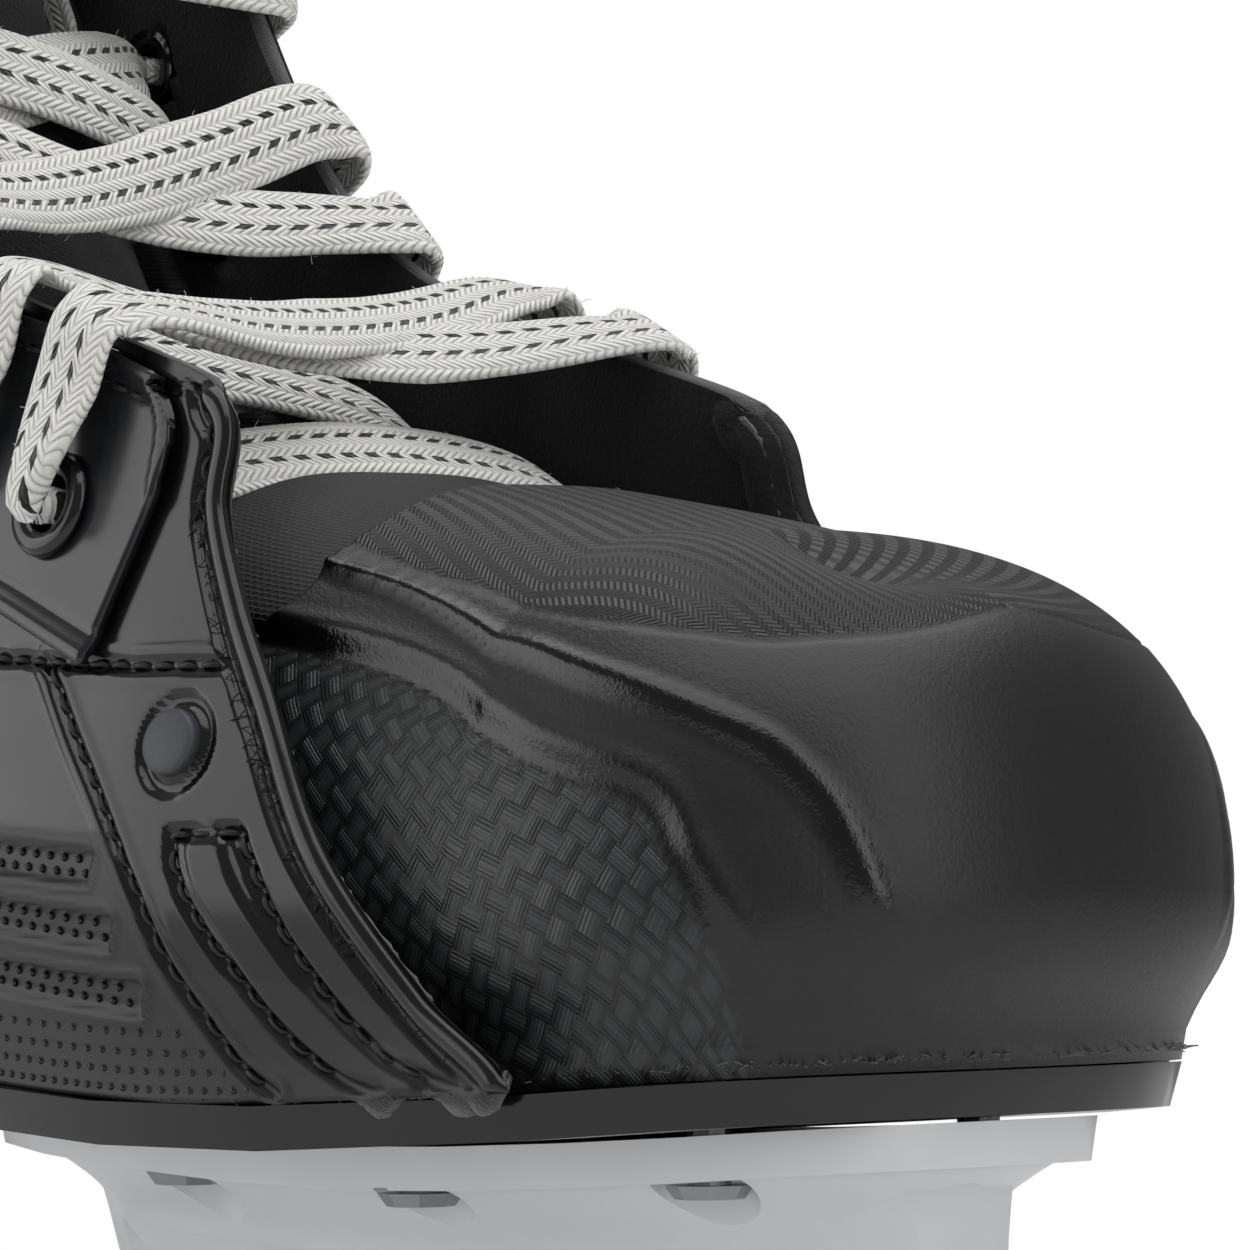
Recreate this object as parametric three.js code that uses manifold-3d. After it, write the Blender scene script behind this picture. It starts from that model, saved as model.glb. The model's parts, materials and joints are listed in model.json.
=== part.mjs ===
// A right ice hockey skate: a layered boot with a moulded toe cap, a lace and eyelets,
// a riveted blade holder, and a steel runner held by a sprung release.
// Millimetres, +X to the toe, +Y to the inner side of the foot, +Z up, ice at z = 0.
import * as THREE from "three";
import { LoftGeometry } from "three/addons/geometries/LoftGeometry.js";
import { mergeVertices } from "three/addons/utils/BufferGeometryUtils.js";
import Module from "manifold-3d";

// ---------- overall sizes ----------
const BOOT_LENGTH = 290; // toe tip to the back of the heel
const BOOT_WIDTH = 104; // across the ball of the foot
const BOOT_HEIGHT = 176; // edge of the sole to the top of the facing
const SOLE_HEIGHT = 69; // ice to the boot's underside at the ball of the foot
const HEEL_LIFT = 8; // how much higher the heel stands than the ball
const TOE_SPRING = 3; // how much higher the tip of the toe stands than the ball

// ---------- layers and gaps ----------
const GAP = 0.3; // clearance between neighbouring pieces
const LAYER_GAP = 0.4; // clearance between curved layers
const COARSE_GAP = 0.7; // clearance between curved layers that are faceted differently
const QUARTER_THICKNESS = 2.6;
const RIM_RAISE = 1.2; // how far the rolled front rim stands proud of the quarter
const RIM_WIDTH = 8.6; // room that the rim takes behind the front edge
const CAP_SETBACK = 3.9; // toe cap's tail inside the quarter's outer face
const CAP_THICKNESS = 2.4;
const TOE_FELT_THICKNESS = 1.6;
const LINER_THICKNESS = 2.6;
const BOARD_THICKNESS = 2.8;
const BOARD_INSET = 7.2;
const FOOTBED_THICKNESS = 3.4;
const FOOTBED_INSET = 9.4;
const OUTSOLE_THICKNESS = 4.5;
const OUTSOLE_MARGIN = 1; // outsole's lip beyond the boot's bottom edge
const FACING_THICKNESS = 1.2;
const FACING_WIDTH = 31;
const COUNTER_THICKNESS = 1.8;
const GUARD_THICKNESS = 2.6;
const PAD_THICKNESS = 6;
const TONGUE_THICKNESS = 6;

// ---------- lace and hardware ----------
const EYELETS_PER_SIDE = 8;
const EYELET_FLANGE = 11.4;
const EYELET_BARREL = 7;
const EYELET_BORE = 5.6;
const EYELET_INSET = 18.5; // eyelet row in from the edge of the facing
const FIRST_EYELET = 17; // along the facing, from its front corner
const LAST_EYELET = 8; // down the facing, from its top end
const LACE_WIDTH = 9;
const LACE_THICKNESS = 1.6;
const LACE_BUNCHED = 3.8; // width and thickness where the lace passes an eyelet
const DISC_DIAMETER = 7;
const RIVET_HEAD = 9;
const RIVET_SHANK = 4.4;
const RIVET_HOLE = 5;
const RIVET_HEAD_HEIGHT = 1.4;

// ---------- holder and runner ----------
const STEEL_THICKNESS = 3;
const STEEL_EXPOSED = 20; // steel below the holder at midfoot
const STEEL_INSERTED = 9;
const ROCKER_RADIUS = 3000;
const SLOT_CLEARANCE = 0.3; // each side of the steel
const STEEL_RELIEF = 0.1; // ground off each side of the steel inside the holder
const RELIEF_DROP = 0.8; // of the relief's edge below the holder
const FLANGE_THICKNESS = 4.5;
const RAIL_HALF_WIDTH = 6.5;
const RAIL_HEIGHT = 13;
const TRIGGER_TRAVEL = 5;

const wasm = await Module();
wasm.setup();

// ---------- curves ----------
// A smooth curve through points given in rising order, level beyond both ends.
function smoothCurve(points) {
  const last = points.length - 1;
  const slopeAt = (i) => {
    if (i === 0 || i === last) return 0;
    return (points[i + 1][1] - points[i - 1][1]) / (points[i + 1][0] - points[i - 1][0]);
  };
  return (x) => {
    if (x <= points[0][0]) return points[0][1];
    if (x >= points[last][0]) return points[last][1];
    const i = points.findIndex((point) => point[0] > x) - 1;
    const span = points[i + 1][0] - points[i][0];
    const t = (x - points[i][0]) / span;
    const rise = points[i + 1][1] - points[i][1];
    const blend = t * t * (3 - 2 * t);
    const startPull = t * (1 - t) * (1 - t) * slopeAt(i) * span;
    const endPull = t * t * (t - 1) * slopeAt(i + 1) * span;
    return points[i][1] + rise * blend + startPull + endPull;
  };
}

const lerp = THREE.MathUtils.lerp;
const steps = (count) => Array.from({ length: count + 1 }, (_, i) => i / count);

// ---------- the boot's outer wall ----------
// Places along the boot, as shares of its length from the middle.
const HEEL_X = -0.285 * BOOT_LENGTH;
const WAIST_X = -0.14 * BOOT_LENGTH;
const INSTEP_X = 0;
const BALL_X = 0.2 * BOOT_LENGTH;
const TOE_X = 0.34 * BOOT_LENGTH;
const TIP_X = 0.5 * BOOT_LENGTH;
const HEEL_WRAP = 0.26 * BOOT_LENGTH; // heel's wall beyond HEEL_X, as a run along it
const BACK_S = HEEL_X - HEEL_WRAP; // middle of the back of the heel
const HEEL_COUNT = 6; // every layer is faceted alike round the heel, so gaps stay even

// Half widths at those places for one level, as shares of half the boot's width.
function widthProfile(heel, waist, instep, ball, toe) {
  const half = BOOT_WIDTH / 2;
  return smoothCurve([
    [HEEL_X, heel * half],
    [WAIST_X, waist * half],
    [INSTEP_X, instep * half],
    [BALL_X, ball * half],
    [TOE_X, toe * half],
  ]);
}

const SOLE_LEVEL = 0;
const BULGE_LEVEL = 0.14 * BOOT_HEIGHT;
const CORNER_LEVEL = 0.41 * BOOT_HEIGHT;
const ANKLE_LEVEL = 0.65 * BOOT_HEIGHT;
const widthAtSole = widthProfile(0.64, 0.63, 0.74, 0.95, 0.92);
const widthAtBulge = widthProfile(0.7, 0.69, 0.81, 1.0, 0.96);
const widthAtCorner = widthProfile(0.68, 0.66, 0.67, 0.76, 0.74);
const widthAtAnkle = widthProfile(0.74, 0.71, 0.66, 0.7, 0.7);
const widthAtCollar = widthProfile(0.76, 0.76, 0.73, 0.73, 0.73);

function halfWidth(x, height) {
  return smoothCurve([
    [SOLE_LEVEL, widthAtSole(x)],
    [BULGE_LEVEL, widthAtBulge(x)],
    [CORNER_LEVEL, widthAtCorner(x)],
    [ANKLE_LEVEL, widthAtAnkle(x)],
    [BOOT_HEIGHT, widthAtCollar(x)],
  ])(height);
}

// How far the heel's wall reaches behind HEEL_X at each level.
const heelReach = smoothCurve([
  [SOLE_LEVEL, 0.188 * BOOT_LENGTH],
  [BULGE_LEVEL, 0.212 * BOOT_LENGTH],
  [CORNER_LEVEL, 0.195 * BOOT_LENGTH],
  [ANKLE_LEVEL, 0.163 * BOOT_LENGTH],
  [0.9 * BOOT_HEIGHT, 0.15 * BOOT_LENGTH],
  [1.2 * BOOT_HEIGHT, 0.18 * BOOT_LENGTH],
]);

const soleAt = smoothCurve([
  [HEEL_X, SOLE_HEIGHT + HEEL_LIFT],
  [BALL_X, SOLE_HEIGHT],
  [TOE_X, SOLE_HEIGHT + TOE_SPRING / 4],
  [TIP_X, SOLE_HEIGHT + TOE_SPRING],
]);

// The foot's centre line swings a little to the inner side at the toe.
const centreAt = smoothCurve([
  [HEEL_X, 0],
  [INSTEP_X, -1],
  [TIP_X, 3],
]);

// A point of the outer wall. `run` is x along the sides and goes on round the heel.
function wallPoint(side, run, height) {
  const turn = (Math.max(HEEL_X - run, 0) / HEEL_WRAP) * (Math.PI / 2);
  const x = turn > 0 ? HEEL_X - heelReach(height) * Math.sin(turn) : run;
  const y = side * halfWidth(Math.max(run, HEEL_X), height) * Math.cos(turn);
  return new THREE.Vector3(x, centreAt(x) + y, soleAt(x) + height);
}

function outwardOf(side, run, height) {
  const step = 0.6;
  const ahead = wallPoint(side, run + step, height).sub(wallPoint(side, run - step, height));
  const up = wallPoint(side, run, height + step).sub(wallPoint(side, run, height - step));
  return ahead.cross(up).normalize().multiplyScalar(-side);
}

function offsetWall(side, run, height, offset) {
  return wallPoint(side, run, height).addScaledVector(outwardOf(side, run, height), offset);
}

// ---------- the quarter's edges ----------
// The front edge rises from the sole to the corner, then the facing climbs to its top.
const FRONT_EDGE = [
  [0.382, 0],
  [0.346, 0.057],
  [0.305, 0.142],
  [0.274, 0.227],
  [0.25, 0.284],
  [0.23, 0.341],
  [0.217, 0.41],
];
const FACING_EDGE = [
  [0.217, 0.41],
  [0.148, 0.445],
  [0.097, 0.464],
  [0.062, 0.485],
  [0.024, 0.524],
  [0, 0.569],
  [-0.041, 0.672],
  [-0.076, 0.782],
  [-0.11, 0.895],
  [-0.131, 1],
];
const scaled = ([along, up]) => new THREE.Vector2(along * BOOT_LENGTH, up * BOOT_HEIGHT);
const facingCurve = new THREE.SplineCurve(FACING_EDGE.map(scaled));
const FACING_LENGTH = facingCurve.getLength();
const edgeRun = smoothCurve(
  [...FRONT_EDGE, ...FACING_EDGE.slice(1)].map(scaled).map((point) => [point.y, point.x]),
);

// The collar dips behind the facing and stays low behind the heel.
const collarHeight = smoothCurve([
  [BACK_S, 0.85 * BOOT_HEIGHT],
  [HEEL_X, 0.86 * BOOT_HEIGHT],
  [-0.131 * BOOT_LENGTH, BOOT_HEIGHT],
]);

// A place in from the facing's edge: `along` and `depth` in mm, as run and height.
function facingPlace(along, depth) {
  const share = along / FACING_LENGTH;
  const inside = THREE.MathUtils.clamp(share, 0, 1);
  const edge = facingCurve.getPointAt(inside);
  const tangent = facingCurve.getTangentAt(inside);
  const beyond = (share - inside) * FACING_LENGTH;
  return new THREE.Vector2(
    edge.x + tangent.x * beyond - tangent.y * depth,
    edge.y + tangent.y * beyond + tangent.x * depth,
  );
}

// ---------- solids from grids of points ----------
// A closed solid between two grids of points. `folded` leaves out the end wall
// where the last row doubles back on itself.
function slab(outer, inner, folded = false) {
  const corners = [];
  const apart = (a, b) => a.distanceToSquared(b) > 1e-5;
  const face = (a, b, c) => {
    if (apart(a, b) && apart(b, c) && apart(c, a)) corners.push(a, b, c);
  };
  const quad = (a, b, c, d) => {
    face(a, b, c);
    face(a, c, d);
  };
  const rows = outer.length - 1;
  const columns = outer[0].length - 1;
  for (let i = 0; i < rows; i++) {
    for (let j = 0; j < columns; j++) {
      quad(outer[i][j], outer[i + 1][j], outer[i + 1][j + 1], outer[i][j + 1]);
      quad(inner[i][j], inner[i][j + 1], inner[i + 1][j + 1], inner[i + 1][j]);
    }
    quad(outer[i][0], inner[i][0], inner[i + 1][0], outer[i + 1][0]);
    quad(outer[i + 1][columns], inner[i + 1][columns], inner[i][columns], outer[i][columns]);
  }
  for (let j = 0; j < columns; j++) {
    quad(outer[0][j + 1], inner[0][j + 1], inner[0][j], outer[0][j]);
    if (!folded) quad(outer[rows][j], inner[rows][j], inner[rows][j + 1], outer[rows][j + 1]);
  }
  return facingOut(corners);
}

// A geometry from triangle corners, turned over if its faces point inwards.
function facingOut(corners) {
  let volume = 0;
  for (let i = 0; i < corners.length; i += 3) {
    volume += corners[i].dot(corners[i + 1].clone().cross(corners[i + 2]));
  }
  const ordered = volume < 0 ? [...corners].reverse() : corners;
  return new THREE.BufferGeometry().setFromPoints(ordered);
}

function grid(rowValues, columnValues, place) {
  return rowValues.map((row) => columnValues.map((column) => place(row, column)));
}

// ---------- joining and cutting ----------
function solidOf(geometry) {
  const bare = new THREE.BufferGeometry();
  const source = geometry.index ? geometry.toNonIndexed() : geometry;
  bare.setAttribute("position", source.getAttribute("position"));
  const merged = mergeVertices(bare, 1e-4);
  return new wasm.Manifold(
    new wasm.Mesh({
      numProp: 3,
      vertProperties: merged.attributes.position.array,
      triVerts: new Uint32Array(merged.index.array),
    }),
  );
}

function geometryOf(solid) {
  const made = solid.getMesh();
  const geometry = new THREE.BufferGeometry();
  geometry.setAttribute("position", new THREE.BufferAttribute(made.vertProperties, 3));
  geometry.setIndex([...made.triVerts]);
  return geometry.toNonIndexed();
}

function cut(geometry, tools) {
  return geometryOf(tools.reduce((solid, tool) => solid.subtract(solidOf(tool)), solidOf(geometry)));
}

function join(geometries) {
  return geometryOf(geometries.map(solidOf).reduce((whole, next) => whole.add(next)));
}

// A round pin from `start` towards `direction`.
function pin(start, direction, diameter, length, sides = 8) {
  const made = new THREE.CylinderGeometry(diameter / 2, diameter / 2, length, sides);
  made.translate(0, length / 2, 0);
  return stoodAt(made, start, direction);
}

// Turns a geometry built up +Y to stand along `direction` from `start`.
function stoodAt(geometry, start, direction) {
  const turn = new THREE.Quaternion().setFromUnitVectors(new THREE.Vector3(0, 1, 0), direction);
  return geometry.applyQuaternion(turn).translate(start.x, start.y, start.z);
}

function block(x, y, z, centre) {
  return new THREE.BoxGeometry(x, y, z).translate(...centre);
}

// ---------- finishes ----------
const finish = (color, roughness, metalness = 0) =>
  new THREE.MeshStandardMaterial({ color, roughness, metalness, side: THREE.DoubleSide });
const FINISHES = {
  mouldedBlack: finish("#17181a", 0.55),
  glossBlack: finish("#101113", 0.18),
  satinGrey: finish("#3a3c3f", 0.35),
  meshBlack: finish("#1b1c1e", 0.9),
  feltBlack: finish("#141414", 0.95),
  feltGrey: finish("#55575a", 0.95),
  whitePlastic: finish("#dcdddf", 0.35),
  steel: finish("#c4c7ca", 0.22, 1),
  rivetSteel: finish("#9fa2a6", 0.35, 1),
  laceWhite: finish("#e9e9e6", 0.9),
  boardBrown: finish("#8c7a60", 0.85),
};

const skate = new THREE.Group();
skate.name = "hockey_skate";

function add(name, geometry, material) {
  geometry.computeVertexNormals();
  const mesh = new THREE.Mesh(geometry, material);
  mesh.name = name;
  skate.add(mesh);
}

const SIDES = [
  { name: "lateral", sign: -1 },
  { name: "medial", sign: 1 },
];

// ---------- eyelets: places first, because the quarters are drilled for them ----------
function eyeletPlace(side, index) {
  const pitch = (FACING_LENGTH - FIRST_EYELET - LAST_EYELET) / (EYELETS_PER_SIDE - 1);
  const place = facingPlace(FIRST_EYELET + pitch * index, EYELET_INSET);
  const along = FIRST_EYELET + pitch * index;
  return {
    along,
    centre: wallPoint(side, place.x, place.y),
    outward: outwardOf(side, place.x, place.y),
  };
}
const eyeletIndexes = Array.from({ length: EYELETS_PER_SIDE }, (_, i) => i);

function eyeletHoles(side) {
  return eyeletIndexes.map((index) => {
    const { centre, outward } = eyeletPlace(side, index);
    const start = centre.clone().addScaledVector(outward, -3 * QUARTER_THICKNESS);
    return pin(start, outward, EYELET_BARREL + 2 * GAP, 6 * QUARTER_THICKNESS);
  });
}

// ---------- quarters ----------
const QUARTER_LEVELS = [
  0, 0.06, 0.14, 0.22, 0.29, 0.35, 0.41, 0.435, 0.455, 0.48, 0.52, 0.58, 0.66, 0.77, 0.88, 1,
];
const SIDE_COLUMNS = [0, 0.02, 0.045, ...steps(7).slice(1).map((t) => lerp(0.045, 1, t))];
const RIM_COLUMNS = 1; // columns of the rolled rim at the front edge
const heelRuns = steps(HEEL_COUNT).slice(1).map((t) => lerp(HEEL_X, BACK_S, t));

function quarterSurface(side, offset, rim) {
  const place = (level, runAt, raise) => {
    const run = runAt(edgeRun(level * BOOT_HEIGHT));
    const share = (run - BACK_S) / (edgeRun(level * BOOT_HEIGHT) - BACK_S);
    const top = collarHeight(lerp(BACK_S, edgeRun(BOOT_HEIGHT), share));
    const point = offsetWall(side, run, level * top, offset + (level < 0.4 ? raise : 0));
    // The two quarters stop short of each other down the back of the heel.
    const seam = centreAt(point.x) + (side * GAP) / 2;
    if (side * (point.y - seam) < 0) point.y = seam;
    return point;
  };
  const sideRows = SIDE_COLUMNS.map((column, i) =>
    QUARTER_LEVELS.map((level) =>
      place(level, (front) => lerp(front, HEEL_X, column), i <= RIM_COLUMNS ? rim : 0),
    ),
  );
  const heelRows = heelRuns.map((run) => QUARTER_LEVELS.map((level) => place(level, () => run, 0)));
  return [...sideRows, ...heelRows];
}

for (const { name, sign } of SIDES) {
  const shell = slab(
    quarterSurface(sign, 0, RIM_RAISE),
    quarterSurface(sign, -QUARTER_THICKNESS, 0),
  );
  const disc = discPlace(sign);
  const socket = pin(
    disc.centre.clone().addScaledVector(disc.outward, -3 * QUARTER_THICKNESS),
    disc.outward,
    DISC_DIAMETER / 2 + 2 * GAP,
    6 * QUARTER_THICKNESS,
  );
  add(`quarter_${name}`, cut(shell, [...eyeletHoles(sign), socket]), FINISHES.mouldedBlack);
}

// The disc below the facing is a rivet that ties the quarter's layers together.
function discPlace(side) {
  const run = 0.229 * BOOT_LENGTH;
  const height = 0.205 * BOOT_HEIGHT;
  return { centre: wallPoint(side, run, height), outward: outwardOf(side, run, height) };
}

for (const { name, sign } of SIDES) {
  const { centre, outward } = discPlace(sign);
  const head = DISC_DIAMETER / 2;
  const shank = head / 2;
  const profile = [
    [0, -QUARTER_THICKNESS],
    [shank, -QUARTER_THICKNESS],
    [shank, GAP],
    [head, GAP],
    [head, GAP + 0.7],
    [head - 0.6, GAP + 1.3],
    [0, GAP + 1.3],
  ];
  const disc = new THREE.LatheGeometry(profile.map(([r, z]) => new THREE.Vector2(r, z)), 12);
  add(`quarter_disc_${name}`, stoodAt(disc, centre, outward), FINISHES.satinGrey);
}

// ---------- facings: the glossy panels that carry the eyelets ----------
const FACING_ROWS = 20;
for (const { name, sign } of SIDES) {
  const surface = (offset) =>
    grid(steps(FACING_ROWS), steps(3), (share, across) => {
      const start = lerp(2.5, FACING_LENGTH - 1, share);
      const place = facingPlace(start, lerp(1.2, FACING_WIDTH, across));
      const frontLimit = edgeRun(Math.min(place.y, CORNER_LEVEL)) - RIM_WIDTH;
      return offsetWall(sign, Math.min(place.x, frontLimit), place.y, offset);
    });
  const panel = slab(surface(LAYER_GAP), surface(LAYER_GAP + FACING_THICKNESS));
  add(`facing_${name}`, cut(panel, eyeletHoles(sign)), FINISHES.satinGrey);
}

for (const { name, sign } of SIDES) {
  const front = LAYER_GAP + FACING_THICKNESS + GAP;
  const back = -QUARTER_THICKNESS - GAP;
  const bore = EYELET_BORE / 2;
  const barrel = EYELET_BARREL / 2;
  const flange = EYELET_FLANGE / 2;
  const profile = [
    [bore, back - 0.8],
    [flange - 0.6, back - 0.8],
    [barrel, back],
    [barrel, front],
    [flange, front],
    [flange - 1.2, front + 1.3],
    [bore, front + 0.9],
    [bore, back - 0.8],
  ];
  for (const index of eyeletIndexes) {
    const { centre, outward } = eyeletPlace(sign, index);
    const ring = new THREE.LatheGeometry(profile.map(([r, z]) => new THREE.Vector2(r, z)), 8);
    add(`eyelet_${name}_${index + 1}`, stoodAt(ring, centre, outward), FINISHES.glossBlack);
  }
}

// ---------- toe cap ----------
const CAP_REAR_X = 0.205 * BOOT_LENGTH;
const SPINE_END_X = 0.405 * BOOT_LENGTH;
const CAP_POWER = 3; // how boxy the cap's section is
const TIP_POWER = 2.3; // how blunt its outline is
const capHeight = smoothCurve([
  [0.12 * BOOT_LENGTH, 0.385 * BOOT_HEIGHT],
  [CAP_REAR_X, 0.367 * BOOT_HEIGHT],
  [TOE_X, 0.322 * BOOT_HEIGHT],
  [SPINE_END_X, 0.277 * BOOT_HEIGHT],
]);
const tipReach = smoothCurve([
  [0, 0.146 * BOOT_LENGTH],
  [0.1 * BOOT_HEIGHT, TIP_X - TOE_X],
]);

// A rounded-box quarter turn: shares of the half width and of the height.
function roundedRise(share, power) {
  const angle = share * (Math.PI / 2);
  const across = share >= 1 ? 0 : Math.cos(angle) ** (2 / power);
  return { across, up: Math.sin(angle) ** (2 / power) };
}

// A point of the toe's outer face. `station` runs along the sides to 0, then round
// the tip to 1; `rise` runs from the sole to the spine.
function toePoint(side, station, rise, setback) {
  const fan = Math.max(station, 0) * (Math.PI / 2);
  const run = station <= 0 ? station + TOE_X : TOE_X;
  const spineX = run + (SPINE_END_X - TOE_X) * Math.sin(fan) ** 2;
  const { across, up } = roundedRise(rise, CAP_POWER);
  const height = capHeight(spineX) * up;
  const level = Math.min(height, BULGE_LEVEL);
  const width = (halfWidth(run, level) - setback) * Math.cos(fan) ** (2 / TIP_POWER);
  const outlineY = station >= 1 ? 0 : width;
  const reach = (tipReach(level) - setback + CAP_SETBACK) * Math.sin(fan) ** (2 / TIP_POWER);
  const x = spineX + (run + reach - spineX) * across;
  const y = side * outlineY * across;
  return new THREE.Vector3(x, centreAt(x) + y, soleAt(x) + height);
}

function toeSurface(stations, rises, setback, drop) {
  return grid(stations, rises, (station, rise) => {
    const side = rise < 0 ? -1 : 1;
    const point = toePoint(side, station, 1 - Math.abs(rise), setback);
    const { up } = roundedRise(1 - Math.abs(rise), CAP_POWER);
    point.z -= drop * up;
    return point;
  });
}
const CAP_RISES = steps(18).map((t) => 2 * t - 1);
const capStations = (rearX) => [
  ...steps(3).map((t) => lerp(rearX - TOE_X, 0, t)),
  ...steps(8).slice(1),
];

add(
  "toe_cap",
  slab(
    toeSurface(capStations(CAP_REAR_X), CAP_RISES, CAP_SETBACK, 0),
    toeSurface(capStations(CAP_REAR_X), CAP_RISES, CAP_SETBACK + CAP_THICKNESS, CAP_THICKNESS),
    true,
  ),
  FINISHES.mouldedBlack,
);

// The felt inside the cap stands on the insole board, so its skirt stops above it.
const feltOuter = CAP_SETBACK + CAP_THICKNESS + COARSE_GAP;
const FELT_RISES = CAP_RISES.map((rise) => rise * 0.93);
add(
  "toe_box_liner",
  slab(
    toeSurface(capStations(CAP_REAR_X + 6), FELT_RISES, feltOuter, CAP_THICKNESS + LAYER_GAP),
    toeSurface(
      capStations(CAP_REAR_X + 6),
      FELT_RISES,
      feltOuter + TOE_FELT_THICKNESS,
      CAP_THICKNESS + LAYER_GAP + TOE_FELT_THICKNESS,
    ),
    true,
  ),
  FINISHES.feltBlack,
);

// The knitted vamp starts under the cap's rear edge and runs back below the lace.
const vampStations = steps(4).map((t) => lerp(0.14, 0.218, t) * BOOT_LENGTH - TOE_X);
const VAMP_RISES = steps(8).map((t) => (2 * t - 1) * 0.5);
const vampDrop = CAP_THICKNESS + LAYER_GAP;
add(
  "vamp_mesh",
  slab(
    toeSurface(vampStations, VAMP_RISES, feltOuter, vampDrop),
    toeSurface(vampStations, VAMP_RISES, feltOuter + 1.4, vampDrop + 1.4),
  ),
  FINISHES.meshBlack,
);

// ---------- boot liner ----------
// Stations that run from the outer side's front round the heel to the inner side's front.
function wrapStations(frontRun, sideCount) {
  const sides = steps(sideCount).map((t) => lerp(frontRun, HEEL_X, t));
  const half = [...sides, ...heelRuns];
  const lateral = half.map((run) => ({ side: -1, run }));
  const medial = half.slice(0, -1).reverse().map((run) => ({ side: 1, run }));
  return [...lateral, ...medial];
}

const LINER_FRONT = 0.162 * BOOT_LENGTH;
const linerTop = smoothCurve([
  [BACK_S, 0.82 * BOOT_HEIGHT],
  [HEEL_X, 0.83 * BOOT_HEIGHT],
  [-0.2 * BOOT_LENGTH, 0.8 * BOOT_HEIGHT],
  [-0.12 * BOOT_LENGTH, 0.6 * BOOT_HEIGHT],
  [-0.02 * BOOT_LENGTH, 0.4 * BOOT_HEIGHT],
  [LINER_FRONT, 0.26 * BOOT_HEIGHT],
]);
const linerOuter = -QUARTER_THICKNESS - COARSE_GAP - LAYER_GAP;
const linerSurface = (offset) =>
  grid(wrapStations(LINER_FRONT, 8), steps(8), ({ side, run }, level) =>
    offsetWall(side, run, lerp(GAP, linerTop(run), level), offset),
  );
add(
  "boot_liner",
  slab(linerSurface(linerOuter), linerSurface(linerOuter - LINER_THICKNESS)),
  FINISHES.feltGrey,
);

// ---------- collar pad ----------
const padOuter = linerOuter - LINER_THICKNESS - LAYER_GAP;
const PAD_FRONT = -0.25 * BOOT_LENGTH;
const padSurface = (thickness) =>
  grid(wrapStations(PAD_FRONT, 1), steps(4), ({ side, run }, level) => {
    const top = collarHeight(run) + 2;
    const swell = Math.sin(Math.PI * lerp(0.12, 0.88, level)) ** 0.6;
    return offsetWall(side, run, lerp(0.55 * BOOT_HEIGHT, top, level), padOuter - thickness * swell);
  });
add("collar_pad", slab(padSurface(0), padSurface(PAD_THICKNESS)), FINISHES.feltBlack);

// ---------- heel counter and tendon guard ----------
const COUNTER_FRONT = -0.16 * BOOT_LENGTH;
const counterTop = smoothCurve([
  [BACK_S, 0.5 * BOOT_HEIGHT],
  [HEEL_X, 0.36 * BOOT_HEIGHT],
  [COUNTER_FRONT, 0.2 * BOOT_HEIGHT],
]);
const counterSurface = (offset) =>
  grid(wrapStations(COUNTER_FRONT, 3), steps(4), ({ side, run }, level) =>
    offsetWall(side, run, lerp(0.6, counterTop(run), level), offset),
  );
add(
  "heel_counter",
  slab(counterSurface(COARSE_GAP), counterSurface(COARSE_GAP + COUNTER_THICKNESS)),
  FINISHES.satinGrey,
);

const GUARD_BASE = 0.68 * BOOT_HEIGHT;
const GUARD_TOP = 1.17 * BOOT_HEIGHT;
const guardStations = wrapStations(HEEL_X, 1).filter(({ run }) => run < HEEL_X - 0.4 * HEEL_WRAP);
const guardSurface = (offset) =>
  grid(guardStations, steps(5), ({ side, run }, level) => {
    const edge = (run - BACK_S) / (0.6 * HEEL_WRAP);
    const top = lerp(GUARD_TOP, 0.95 * BOOT_HEIGHT, edge ** 2);
    return offsetWall(side, run, lerp(GUARD_BASE, top, level), offset);
  });
add(
  "tendon_guard",
  slab(guardSurface(LAYER_GAP), guardSurface(LAYER_GAP + GUARD_THICKNESS)),
  FINISHES.mouldedBlack,
);

// ---------- tongue ----------
const TONGUE_TOP = FACING_LENGTH + 4; // body's top end, along the facing
const TONGUE_FLAP = 38;
const tongueDepth = (along) => lerp(19, 9.5, THREE.MathUtils.smoothstep(along, 18, 80));
const tongueHalf = (along) => {
  const place = facingPlace(along, 22);
  const room = smoothCurve([
    [0, 11],
    [0.5 * FACING_LENGTH, 10],
    [FACING_LENGTH, 14],
    [TONGUE_TOP + TONGUE_FLAP, 1],
  ])(along);
  return halfWidth(Math.min(place.x, BALL_X), Math.min(place.y, BOOT_HEIGHT)) - room;
};

function tonguePoint(along, across, inward) {
  const arch = lerp(11, 15, THREE.MathUtils.smoothstep(along, 10, 70));
  const edgeThinning = 1 - 0.45 * Math.abs(across) ** 3;
  const depth = tongueDepth(along) + arch * Math.abs(across) ** 2.2 + inward * edgeThinning;
  const place = facingPlace(along, depth);
  const y = centreAt(place.x) + across * tongueHalf(along);
  return new THREE.Vector3(place.x, y, soleAt(place.x) + place.y);
}
const TONGUE_ACROSS = steps(8).map((t) => 2 * t - 1);
const tonguePiece = (from, to, rows, thickness) =>
  slab(
    grid(steps(rows), TONGUE_ACROSS, (t, across) => tonguePoint(lerp(from, to, t), across, 0)),
    grid(steps(rows), TONGUE_ACROSS, (t, across) =>
      tonguePoint(lerp(from, to, t), across, thickness),
    ),
  );
add("tongue_body", tonguePiece(-2, TONGUE_TOP, 13, TONGUE_THICKNESS), FINISHES.feltBlack);
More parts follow.
